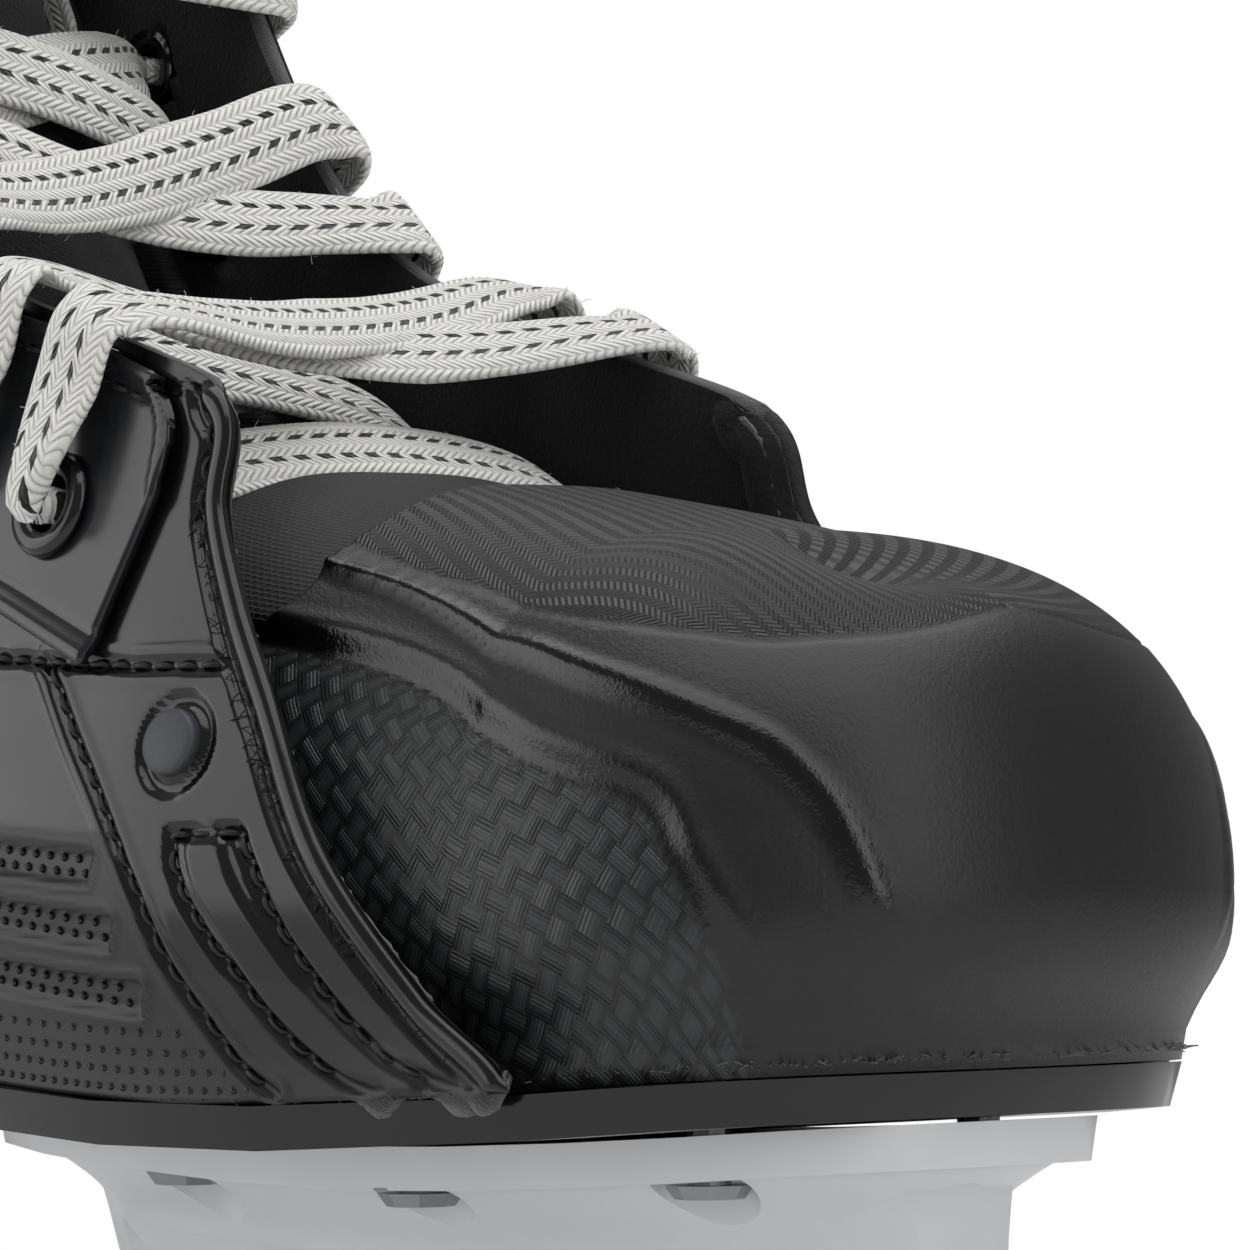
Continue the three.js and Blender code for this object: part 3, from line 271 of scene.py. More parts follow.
    def outward(self, side: int, run: Array, height: Array) -> Array:
        """Gives the wall's outward direction."""
        step = 0.6
        ahead = self.wall(side, run + step, height) - self.wall(side, run - step, height)
        up = self.wall(side, run, height + step) - self.wall(side, run, height - step)
        normal = np.cross(ahead, up) * -side
        return normal / np.linalg.norm(normal, axis=-1, keepdims=True)

    def offset(self, side: int, run: Array, height: Array, out: Array) -> Array:
        """Gives points off the wall by `out`."""
        out = np.asarray(out, float)[..., None]
        return self.wall(side, run, height) + self.outward(side, run, height) * out

    def _facing(self) -> tuple[Array, Array]:
        """Gives the facing's edge, finely cut, and the length up to each point."""
        knots = [(a * self.length, h * self.height) for a, h in self.facing_edge]
        fine = spline(knots, 400)
        gone = np.cumsum(np.linalg.norm(np.diff(fine, axis=0), axis=1))
        return fine, np.concatenate([[0], gone])

    def facing_place(self, along: Array, depth: Array) -> tuple[Array, Array]:
        """Gives the run and height of a place in from the facing's edge."""
        fine, gone = self._facing()
        along = np.asarray(along, float)
        inside = np.clip(along, 0, gone[-1])
        step = 0.5
        ahead = [np.interp(np.clip(inside + step, 0, gone[-1]), gone, fine[:, k]) for k in (0, 1)]
        behind = [np.interp(np.clip(inside - step, 0, gone[-1]), gone, fine[:, k]) for k in (0, 1)]
        tx, tz = ahead[0] - behind[0], ahead[1] - behind[1]
        size = np.hypot(tx, tz)
        tx, tz = tx / size, tz / size
        beyond = along - inside
        x = np.interp(inside, gone, fine[:, 0]) + tx * beyond - tz * depth
        z = np.interp(inside, gone, fine[:, 1]) + tz * beyond + tx * depth
        return x, z

    def edge_run(self, height: Array) -> Array:
        """Gives the run of the quarter's front edge at a height."""
        both = (*self.front_edge, *self.facing_edge)
        return smooth_curve([(h * self.height, a * self.length) for a, h in both])(height)

    def collar(self, run: Array) -> Array:
        """Gives the height of the collar."""
        knots = ((self.back, 0.85), (self.heel_x, 0.86), (-0.131 * self.length, 1.0))
        return smooth_curve([(r, h * self.height) for r, h in knots])(run)

    def cap_height(self, x: Array) -> Array:
        """Gives the height of the toe cap's spine."""
        knots = ((0.12, 0.385), (0.205, 0.367), (0.34, 0.322), (0.405, 0.277))
        return smooth_curve([(a * self.length, h * self.height) for a, h in knots])(x)

    def toe(self, side: Array, station: Array, rise: Array, setback: float) -> Array:
        """Gives points of the toe's outer face.

        Args:
            side: -1 or 1.
            station: x - toe_x along the sides up to 0, then round the tip to 1.
            rise: 0 at the sole to 1 at the spine.
            setback: How far in from the quarter's outer face.

        Returns:
            Points in the last axis.
        """
        side, station, rise = np.broadcast_arrays(side, station, rise)
        fan = np.maximum(station, 0) * (math.pi / 2)
        run = np.where(station <= 0, station, 0) + self.toe_x
        spine = run + 0.065 * self.length * np.sin(fan) ** 2
        angle = rise * (math.pi / 2)
        across = np.where(rise >= 1, 0, np.maximum(np.cos(angle), 0) ** (2 / 3))
        height = self.cap_height(spine) * np.sin(angle) ** (2 / 3)
        level = np.minimum(height, 0.14 * self.height)
        blunt = 2 / 2.3
        width = (self.half_width(run, level) - setback) * np.maximum(np.cos(fan), 0) ** blunt
        width = np.where(station >= 1, 0, width)
        reach = smooth_curve(
            [(0, 0.146 * self.length), (0.1 * self.height, 0.16 * self.length)]
        )(level)
        reach = (reach - setback + self.cap_setback) * np.sin(fan) ** blunt
        x = spine + (run + reach - spine) * across
        y = self.centre_at(x) + side * width * across
        return np.stack([x, y, self.sole_at(x) + height], -1)


BOOT = BootForm()


class Side(Enum):
    """The two sides of the foot, with their sign across the boot."""

    LATERAL = -1
    MEDIAL = 1

    @property
    def word(self) -> str:
        """The side's name as the pieces spell it."""
        return self.name.lower()


def to_model(points: Array) -> Array:
    """Moves points from the maker's millimetres into the model's metres."""
    return (np.asarray(points, float) + MAKER_SHIFT) * MM


# ---------- meshes ----------
@dataclass
class Bent:
    """A grid bent into a surface: its points, and what its materials read."""

    points: Array
    uv: Array | None = None
    marks: dict[str, Array] = field(default_factory=dict)


def new_object(name: str, mesh: bpy.types.Mesh) -> bpy.types.Object:
    """Puts a mesh in the scene under a name."""
    made = bpy.data.objects.new(name, mesh)
    bpy.context.scene.collection.objects.link(made)
    return made


def turn_out(bm: bmesh.types.BMesh, inside: Array) -> None:
    """Turns a whole shell over if most of it faces a point inside it."""
    bm.normal_update()
    middle = Vector(to_model(inside))
    facing = sum(f.normal.dot(f.calc_center_median() - middle) * f.calc_area() for f in bm.faces)
    if facing < 0:
        bmesh.ops.reverse_faces(bm, faces=bm.faces[:])


def bend_grid(
    name: str,
    rows: Array,
    columns: Array,
    place: Callable[[Array, Array], Bent],
    inside: Sequence[float] = (0, 0, 110),
    thickness: float = 0.0,
    sharp: float = 0.0,
) -> bpy.types.Object:
    """Lays a flat grid and bends it into a surface.

    Args:
        name: Name of the piece.
        rows: Parameters of the grid's first direction.
        columns: Parameters of the grid's second direction.
        place: Gives the bent points for a mesh of the two parameters.
        inside: A point behind the surface, in the maker's frame.
        thickness: Wall in mm, laid inwards; 0 leaves a single surface.
        sharp: Bevel in mm along the wall's edges.

    Returns:
        The object, with its marks as point attributes.
    """
    bm = bmesh.new()
    bmesh.ops.create_grid(bm, x_segments=len(rows) - 1, y_segments=len(columns) - 1, size=0.5)
    first, second = np.meshgrid(rows, columns, indexing="ij")
    bent = place(first, second)
    points = to_model(bent.points)
    uv_layer = bm.loops.layers.uv.new("surface") if bent.uv is not None else None
    layers = {mark: bm.verts.layers.float.new(mark) for mark in bent.marks}
    spots = {}
    for vertex in bm.verts:
        i = round((vertex.co.x + 0.5) * (len(rows) - 1))
        j = round((vertex.co.y + 0.5) * (len(columns) - 1))
        spots[vertex.index] = (i, j)
        for mark, layer in layers.items():
            vertex[layer] = bent.marks[mark][i, j]
    for face in bm.faces:
        face.smooth = True
        if uv_layer is not None:
            for loop in face.loops:
                loop[uv_layer].uv = bent.uv[spots[loop.vert.index]]
    for vertex in bm.verts:
        vertex.co = points[spots[vertex.index]]
    bmesh.ops.remove_doubles(bm, verts=bm.verts[:], dist=2e-6)
    turn_out(bm, np.array(inside))
    mesh = bpy.data.meshes.new(name)
    bm.to_mesh(mesh)
    bm.free()
    made = new_object(name, mesh)
    if thickness:
        add_wall(made, thickness)
    if sharp:
        add_bevel(made, sharp)
    return made


def add_wall(piece: bpy.types.Object, thickness: float) -> None:
    """Gives a surface a wall laid inwards, with its own inner and edge materials."""
    wall = piece.modifiers.new("wall", "SOLIDIFY")
    wall.thickness = thickness * MM
    wall.offset = -1
    wall.use_even_offset = False
    wall.material_offset = 1
    wall.material_offset_rim = 2


def add_bevel(piece: bpy.types.Object, width: float, segments: int = 2) -> None:
    """Rounds a piece's sharp edges."""
    bevel = piece.modifiers.new("rounded", "BEVEL")
    bevel.width = width * MM
    bevel.segments = segments
    bevel.limit_method = "ANGLE"
    bevel.angle_limit = math.radians(40)
    bevel.harden_normals = False


def shade_smooth(piece: bpy.types.Object) -> None:
    """Shades every face of a piece smoothly."""
    for face in piece.data.polygons:
        face.use_smooth = True


def apply_modifiers(piece: bpy.types.Object) -> None:
    """Fixes a piece's modifiers into its mesh."""
    graph = bpy.context.evaluated_depsgraph_get()
    made = bpy.data.meshes.new_from_object(piece.evaluated_get(graph))
    piece.modifiers.clear()
    piece.data = made


def tubes(
    name: str, runs: Sequence[Array], radius: float, sides: int = 0, smooth: bool = False
) -> bpy.types.Object:
    """Makes many thin rods as one piece, each along its own points in the maker's mm."""
    curve = bpy.data.curves.new(name, "CURVE")
    curve.dimensions = "3D"
    curve.bevel_depth = radius * MM
    curve.bevel_resolution = sides
    curve.use_fill_caps = True
    for run in runs:
        line = curve.splines.new("POLY")
        line.points.add(len(run) - 1)
        for spot, point in zip(line.points, to_model(run)):
            spot.co = (*point, 1)
        line.use_smooth = smooth
    source = new_object(name + "_line", curve)
    graph = bpy.context.evaluated_depsgraph_get()
    mesh = bpy.data.meshes.new_from_object(source.evaluated_get(graph))
    mesh.name = name
    bpy.data.objects.remove(source)
    made = new_object(name, mesh)
    shade_smooth(made)
    return made


def lathe(
    name: str, profile: Sequence[tuple[float, float]], centre: Array, along: Array, steps: int = 32
) -> bpy.types.Object:
    """Spins a profile of radius and height into a closed round piece.

    Args:
        name: Name of the piece.
        profile: Radius and height pairs in mm; the first and last may lie on the axis.
        centre: Foot of the axis, in the maker's frame.
        along: Direction of the axis.
        steps: Faces round the piece.

    Returns:
        The object.
    """
    bm = bmesh.new()
    spots = [bm.verts.new((radius * MM, 0, height * MM)) for radius, height in profile]
    edges = [bm.edges.new(pair) for pair in zip(spots, spots[1:])]
    bmesh.ops.spin(
        bm,
        geom=[*spots, *edges],
        cent=(0, 0, 0),
        axis=(0, 0, 1),
        angle=math.tau,
        steps=steps,
        use_merge=True,
    )
    bmesh.ops.remove_doubles(bm, verts=bm.verts[:], dist=1e-7)
    bmesh.ops.recalc_face_normals(bm, faces=bm.faces[:])
    turn = Vector((0, 0, 1)).rotation_difference(Vector(along)).to_matrix().to_4x4()
    bmesh.ops.transform(
        bm, matrix=Matrix.Translation(Vector(to_model(centre))) @ turn, verts=bm.verts[:]
    )
    mesh = bpy.data.meshes.new(name)
    bm.to_mesh(mesh)
    bm.free()
    made = new_object(name, mesh)
    shade_smooth(made)
    return made


def node_copy(name: str, node: str) -> bpy.types.Object:
    """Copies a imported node's mesh into a new piece, with its loose triangles merged."""
    bm = bmesh.new()
    bm.from_mesh(bpy.data.objects[node].data)
    bmesh.ops.remove_doubles(bm, verts=bm.verts[:], dist=1e-6)
    flat = math.radians(1)
    bmesh.ops.dissolve_limit(
        bm, angle_limit=flat, verts=bm.verts[:], edges=bm.edges[:], use_dissolve_boundaries=False
    )
    mesh = bpy.data.meshes.new(name)
    bm.to_mesh(mesh)
    bm.free()
    return new_object(name, mesh)


def nearest(points: Array, line: Array) -> tuple[Array, Array]:
    """Finds how far points are from a line, and how far along it.

    Args:
        points: Points in the last axis.
        line: Points of the line.

    Returns:
        Distances, and shares along the line.
    """
    flat = points.reshape(-1, points.shape[-1])
    best = np.full(len(flat), np.inf)
    share = np.zeros(len(flat))
    for i in range(len(line) - 1):
        start, step = line[i], line[i + 1] - line[i]
        t = np.clip((flat - start) @ step / max(step @ step, 1e-9), 0, 1)
        gap = np.linalg.norm(flat - start - t[:, None] * step, axis=1)
        closer = gap < best
        best = np.where(closer, gap, best)
        share = np.where(closer, (i + t) / (len(line) - 1), share)
    return best.reshape(points.shape[:-1]), share.reshape(points.shape[:-1])


def surface_normals(points: Array) -> Array:
    """Gives unit normals of a grid of points."""
    normal = np.cross(np.gradient(points, axis=0), np.gradient(points, axis=1))
    return normal / np.maximum(np.linalg.norm(normal, axis=-1, keepdims=True), 1e-9)


def arc_lengths(points: Array, axis: int) -> Array:
    """Gives the length run along a grid of points from its first row or column."""
    steps = np.linalg.norm(np.diff(points, axis=axis), axis=-1)
    zero = np.zeros_like(np.take(steps, [0], axis=axis))
    return np.concatenate([zero, np.cumsum(steps, axis=axis)], axis=axis)


def groove(gap: Array, width: float, depth: float) -> Array:
    """Gives a rounded groove's depth, as a negative height, by distance from its line."""
    return -depth * np.clip(1 - (gap / (width / 2)) ** 2, 0, 1) ** 0.7


# ---------- finishes ----------
def linear(hex_colour: str) -> tuple[float, float, float, float]:
    """Turns an sRGB hex colour into linear light with full alpha."""
    parts = [int(hex_colour[i : i + 2], 16) / 255 for i in (1, 3, 5)]
    return (*[c / 12.92 if c <= 0.04045 else ((c + 0.055) / 1.055) ** 2.4 for c in parts], 1.0)


def add_node(
    tree: bpy.types.NodeTree, kind: str, settings: dict | None = None, links: dict | None = None
) -> bpy.types.Node:
    """Adds a node with its settings and links.

    Args:
        tree: The material's node tree.
        kind: Node type.
        settings: Node properties by name, or input values by socket name or index.
        links: Sockets to join to inputs, by socket name or index.

    Returns:
        The node.
    """
    made = tree.nodes.new(kind)
    for key, value in (settings or {}).items():
        if isinstance(key, str) and key in made.bl_rna.properties:
            setattr(made, key, value)
        else:
            made.inputs[key].default_value = value
    for key, socket in (links or {}).items():
        tree.links.new(socket, made.inputs[key])
    return made


@dataclass(frozen=True)
class Finish:
    """A finish of one colour, roughness and fine grain, on Object coordinates."""

    name: str
    colour: str
    shade: str
    roughness: float
    rough_spread: float = 0.06
    grain_mm: float = 0.4
    grain_depth_mm: float = 0.02
    metallic: float = 0.0
    coat: float = 0.0
    sheen: float = 0.0
    wave_mm: float = 0.0
    wave_depth_mm: float = 0.0

    def base(self) -> tuple[bpy.types.Material, bpy.types.NodeTree, bpy.types.Node]:
        """Makes the material, its tree and its shader."""
        made = bpy.data.materials.new(self.name)
        made.use_nodes = True
        shader = made.node_tree.nodes["Principled BSDF"]
        shader.inputs["Metallic"].default_value = self.metallic
        shader.inputs["Coat Weight"].default_value = self.coat
        shader.inputs["Coat Roughness"].default_value = 0.06
        shader.inputs["Sheen Weight"].default_value = self.sheen
        shader.inputs["Sheen Roughness"].default_value = 0.6
        return made, made.node_tree, shader

    def material(self) -> bpy.types.Material:
        """Makes the finished material."""
        made, tree, shader = self.base()
        where = add_node(tree, "ShaderNodeTexCoord").outputs["Object"]
        grain = add_node(
            tree, "ShaderNodeTexNoise",
            {"Scale": 1000 / self.grain_mm, "Detail": 3.0, "Roughness": 0.6}, {"Vector": where},
        ).outputs["Fac"]
        patches = add_node(
            tree, "ShaderNodeTexNoise", {"Scale": 45.0, "Detail": 3.0}, {"Vector": where}
        ).outputs["Fac"]
        colour = add_node(
            tree, "ShaderNodeMix",
            {"data_type": "RGBA", 6: linear(self.colour), 7: linear(self.shade)}, {0: patches},
        ).outputs[2]
        tree.links.new(colour, shader.inputs["Base Color"])
        rough = add_node(
            tree, "ShaderNodeMapRange",
            {"To Min": self.roughness - self.rough_spread,
             "To Max": self.roughness + self.rough_spread},
            {"Value": patches},
        ).outputs[0]
        tree.links.new(rough, shader.inputs["Roughness"])
        bump = add_node(
            tree, "ShaderNodeBump", {"Strength": 1.0, "Distance": self.grain_depth_mm * MM},
            {"Height": grain},
        )
        if self.wave_mm:
            swell = add_node(
                tree, "ShaderNodeTexNoise", {"Scale": 1000 / self.wave_mm, "Detail": 1.0},
                {"Vector": where},
            ).outputs["Fac"]
            bump = add_node(
                tree, "ShaderNodeBump", {"Strength": 1.0, "Distance": self.wave_depth_mm * MM},
                {"Height": swell, "Normal": bump.outputs[0]},
            )
        tree.links.new(bump.outputs[0], shader.inputs["Normal"])
        return made


@dataclass(frozen=True)
class CapFinish(Finish):
    """Moulded cap: leathery grain, a woven side panel, an embossed top and a glossy stripe, with
    painted shade and highlight on the weave and painted shade on the bevel round the woven panel.
    """

    cell_mm: float = 2.7

    def material(self) -> bpy.types.Material:
        """Makes the cap's material from its marks and its surface map."""
        made, tree, shader = self.base()
        where = add_node(tree, "ShaderNodeTexCoord").outputs["Object"]
        flat = add_node(tree, "ShaderNodeUVMap", {"uv_map": "surface"}).outputs[0]

        def mark(name: str) -> bpy.types.NodeSocket:
            """Reads one of the piece's marks."""
            settings = {"attribute_type": "GEOMETRY", "attribute_name": name}
            return add_node(tree, "ShaderNodeAttribute", settings).outputs["Fac"]

        def mixed(share: bpy.types.NodeSocket, low: object, high: object) -> bpy.types.NodeSocket:
            """Mixes two numbers or sockets by a share."""
            node = add_node(tree, "ShaderNodeMix", {"data_type": "FLOAT"}, {0: share})
            for index, value in ((2, low), (3, high)):
                if isinstance(value, float):
                    node.inputs[index].default_value = value
                else:
                    tree.links.new(value, node.inputs[index])
            return node.outputs[0]

        def bands(vector: bpy.types.NodeSocket, axis: str, pitch: float) -> bpy.types.NodeSocket:
            """Makes rounded bands of a pitch in mm across one axis."""
            settings = {"bands_direction": axis, "Scale": math.tau / 20 / pitch, "Distortion": 0.0}
            return add_node(tree, "ShaderNodeTexWave", settings, {"Vector": vector}).outputs["Fac"]

        # Basket cells of flat threads, crossed over and under.
        turned = add_node(
            tree, "ShaderNodeMapping", {"Rotation": (0, 0, math.radians(-22))}, {"Vector": flat}
        ).outputs[0]
        parity = add_node(
            tree, "ShaderNodeTexChecker", {"Scale": 1 / self.cell_mm}, {"Vector": turned}
        ).outputs["Fac"]
        along = bands(turned, "X", self.cell_mm / 6)
        across = bands(turned, "Y", self.cell_mm / 6)
        threads = mixed(parity, along, across)
        crown = mixed(parity, bands(turned, "X", self.cell_mm), bands(turned, "Y", self.cell_mm))
        woven_height = add_node(
            tree, "ShaderNodeMath", {"operation": "MULTIPLY_ADD", 1: 0.22}, {0: threads, 2: crown}
        ).outputs[0]
        # Rows of fine slanted ridges that lean one way and then the other.
        spread = add_node(tree, "ShaderNodeSeparateXYZ", links={0: flat}).outputs
        lean = add_node(
            tree, "ShaderNodeMath", {"operation": "PINGPONG", 1: 1.3}, {0: spread[1]}
        ).outputs[0]
        slant = add_node(
            tree, "ShaderNodeMath", {"operation": "MULTIPLY_ADD", 1: 0.9}, {0: lean, 2: spread[0]}
        ).outputs[0]
        ridge = add_node(
            tree, "ShaderNodeMath", {"operation": "PINGPONG", 1: 0.42}, {0: slant}
        ).outputs[0]
        herring = add_node(
            tree, "ShaderNodeMath", {"operation": "MULTIPLY", 1: 1.9}, {0: ridge}
        ).outputs[0]
        leather = add_node(
            tree, "ShaderNodeTexVoronoi", {"feature": "SMOOTH_F1", "Scale": 1000 / 0.75},
            {"Vector": where},
        ).outputs["Distance"]
        fine = add_node(
            tree, "ShaderNodeTexNoise", {"Scale": 1000 / 0.35, "Detail": 3.0}, {"Vector": where}
        ).outputs["Fac"]
        grain = add_node(
            tree, "ShaderNodeMath", {"operation": "MULTIPLY_ADD", 1: 0.5}, {0: leather, 2: fine}
        ).outputs[0]
        plain = add_node(
            tree, "ShaderNodeBump", {"Strength": 1.0, "Distance": self.grain_depth_mm * MM},
            {"Height": grain},
        ).outputs[0]
        height = mixed(mark("woven"), mixed(mark("panel"), 0.0, herring), woven_height)
        relief = add_node(
            tree, "ShaderNodeBump", {"Strength": 1.0, "Distance": 0.16 * MM},
            {"Height": height, "Normal": plain},
        ).outputs[0]
        tree.links.new(relief, shader.inputs["Normal"])
        bright = add_node(
            tree, "ShaderNodeMix",
            {"data_type": "RGBA", 6: linear(self.shade), 7: linear(self.colour)}, {0: grain},
        ).outputs[2]
        # Painted shade and highlight: the woven panel's colour goes dark in the low threads and
        # cell edges and light on the crowns, following the weave's relief. The panel is also
        # lighter overall than the plain cap.
        woven_relief_shading = add_node(
            tree, "ShaderNodeMix",
            {"data_type": "RGBA", 6: linear("#0b0c0d"), 7: linear("#2c2e30")}, {0: woven_height},
        ).outputs[2]
        coloured = add_node(
            tree, "ShaderNodeMix", {"data_type": "RGBA"},
            {0: mark("woven"), 6: bright, 7: woven_relief_shading},
        ).outputs[2]
        # Where the gloss mark is set, the colour goes near black. On the bevel round the woven
        # panel this is painted shade on the slope down into the recess; on the stripe it darkens
        # the band.
        gloss_and_bevel_shade_colour = add_node(
            tree, "ShaderNodeMix", {"data_type": "RGBA", 7: linear("#050506")},
            {0: mark("gloss"), 6: coloured},
        ).outputs[2]
        tree.links.new(gloss_and_bevel_shade_colour, shader.inputs["Base Color"])
        soft = mixed(mark("woven"), self.roughness, 0.36)
        tree.links.new(mixed(mark("gloss"), soft, 0.13), shader.inputs["Roughness"])
        return made


@dataclass(frozen=True)
class ShellFinish(Finish):
    """Glossy moulded quarter that turns matte in its lower part."""

    matte: float = 0.42

    def material(self) -> bpy.types.Material:
        """Makes the shell's material, matte where the piece is marked so."""
        made = super().material()
        tree = made.node_tree
        shader = tree.nodes["Principled BSDF"]
        gloss = shader.inputs["Roughness"].links[0].from_socket
        mark = add_node(
            tree, "ShaderNodeAttribute", {"attribute_type": "GEOMETRY", "attribute_name": "matte"}
        ).outputs["Fac"]
        mixed = add_node(tree, "ShaderNodeMix", {3: self.matte}, {0: mark, 2: gloss}).outputs[0]
        tree.links.new(mixed, shader.inputs["Roughness"])
        return made


@dataclass(frozen=True)
class BraidFinish(Finish):
    """Flat cotton braid: a herringbone of white yarns with two rows of dark tracers, and painted
    shade in the grooves between yarns.
    """

    plait_mm: float = 1.15
    tracer_mm: float = 3.3
    tracer_at_mm: float = 1.75

    def material(self) -> bpy.types.Material:
        """Makes the braid on the lace's own map, which runs across and along in mm."""
        made, tree, shader = self.base()
        flat = add_node(tree, "ShaderNodeUVMap", {"uv_map": "surface"}).outputs[0]
        parts = add_node(tree, "ShaderNodeSeparateXYZ", links={0: flat})
        across, along = parts.outputs[0], parts.outputs[1]

        def maths(operation: str, first: object, second: object) -> bpy.types.NodeSocket:
            """Works out one sum on sockets or numbers."""
            node = add_node(tree, "ShaderNodeMath", {"operation": operation})
            for index, value in enumerate((first, second)):
                if isinstance(value, (int, float)):
                    node.inputs[index].default_value = value
                else:
                    tree.links.new(value, node.inputs[index])
            return node.outputs[0]

        # Yarns lean towards the middle line from both edges.
        lean = maths("PINGPONG", maths("ADD", across, 9.0), 1.5)
        slope = maths("ADD", along, maths("MULTIPLY", lean, 1.25))
        yarn_turn = maths("MULTIPLY", slope, math.pi / self.plait_mm)
        yarn = maths("ABSOLUTE", maths("SINE", yarn_turn, 0), 0)
        column = maths("ABSOLUTE", maths("SINE", maths("MULTIPLY", across, math.pi / 1.5), 0), 0)
        height = maths("MULTIPLY", maths("POWER", yarn, 0.7), maths("ADD", column, 0.35))
        off_row = maths("SUBTRACT", maths("ABSOLUTE", across, 0), self.tracer_at_mm)
        distance = maths("ABSOLUTE", off_row, 0)
        row = maths("LESS_THAN", distance, 0.42)
        step = maths("FRACT", maths("DIVIDE", maths("ADD", slope, maths("MULTIPLY", across, 0.45)),
                                    self.tracer_mm), 0)
        dash = maths("LESS_THAN", step, 0.56)
        tracer = maths("MULTIPLY", row, dash)
        where = add_node(tree, "ShaderNodeTexCoord").outputs["Object"]
        fuzz = add_node(
            tree, "ShaderNodeTexNoise", {"Scale": 1000 / 0.5, "Detail": 4.0}, {"Vector": where}
        ).outputs["Fac"]
        # Painted shade: the white goes towards the darker second colour in the grooves between
        # yarns, following the braid's relief.
        white = add_node(
            tree, "ShaderNodeMix",
            {"data_type": "RGBA", 6: linear(self.shade), 7: linear(self.colour)},
            {0: maths("MULTIPLY_ADD", height, 0.9)},
        ).outputs[2]
        colour = add_node(
            tree, "ShaderNodeMix", {"data_type": "RGBA", 7: linear("#0c0c0d")},
            {0: tracer, 6: white},
        ).outputs[2]
        tree.links.new(colour, shader.inputs["Base Color"])
        relief = add_node(
            tree, "ShaderNodeBump", {"Strength": 1.0, "Distance": 0.3 * MM}, {"Height": height}
        ).outputs[0]
        fluff = add_node(
            tree, "ShaderNodeBump", {"Strength": 0.6, "Distance": 0.12 * MM},
            {"Height": fuzz, "Normal": relief},
        ).outputs[0]
        tree.links.new(fluff, shader.inputs["Normal"])
        shader.inputs["Roughness"].default_value = self.roughness
        return made


@dataclass(frozen=True)
class KnitFinish(Finish):
    """Knitted or woven cloth on the piece's own map in mm: rows of small open cells, painted dark
    as the shade inside them.
    """

    cell_mm: float = 1.0
    open_cell_shade: str = "#050505"

    def material(self) -> bpy.types.Material:
        """Makes the cloth's material."""
        made, tree, shader = self.base()
        flat = add_node(tree, "ShaderNodeUVMap", {"uv_map": "surface"}).outputs[0]
        cells = add_node(
            tree, "ShaderNodeTexBrick",
            {"Scale": 1.0, "Brick Width": self.cell_mm, "Row Height": 0.62 * self.cell_mm,
             "Mortar Size": 0.13 * self.cell_mm, "Mortar Smooth": 0.8, "Color1": (0, 0, 0, 1),
             "Color2": (0.12, 0.12, 0.12, 1), "Mortar": (1, 1, 1, 1)},
            {"Vector": flat},
        ).outputs["Color"]
        # Painted shade: the open cells take the dark colour and the threads between them the
        # cloth's colour.
        colour = add_node(
            tree, "ShaderNodeMix",
            {"data_type": "RGBA", 6: linear(self.open_cell_shade), 7: linear(self.colour)}, {0: cells},
        ).outputs[2]
        tree.links.new(colour, shader.inputs["Base Color"])
        relief = add_node(
            tree, "ShaderNodeBump", {"Strength": 1.0, "Distance": 0.25 * MM}, {"Height": cells}
        ).outputs[0]
        tree.links.new(relief, shader.inputs["Normal"])
        shader.inputs["Roughness"].default_value = self.roughness
        return made


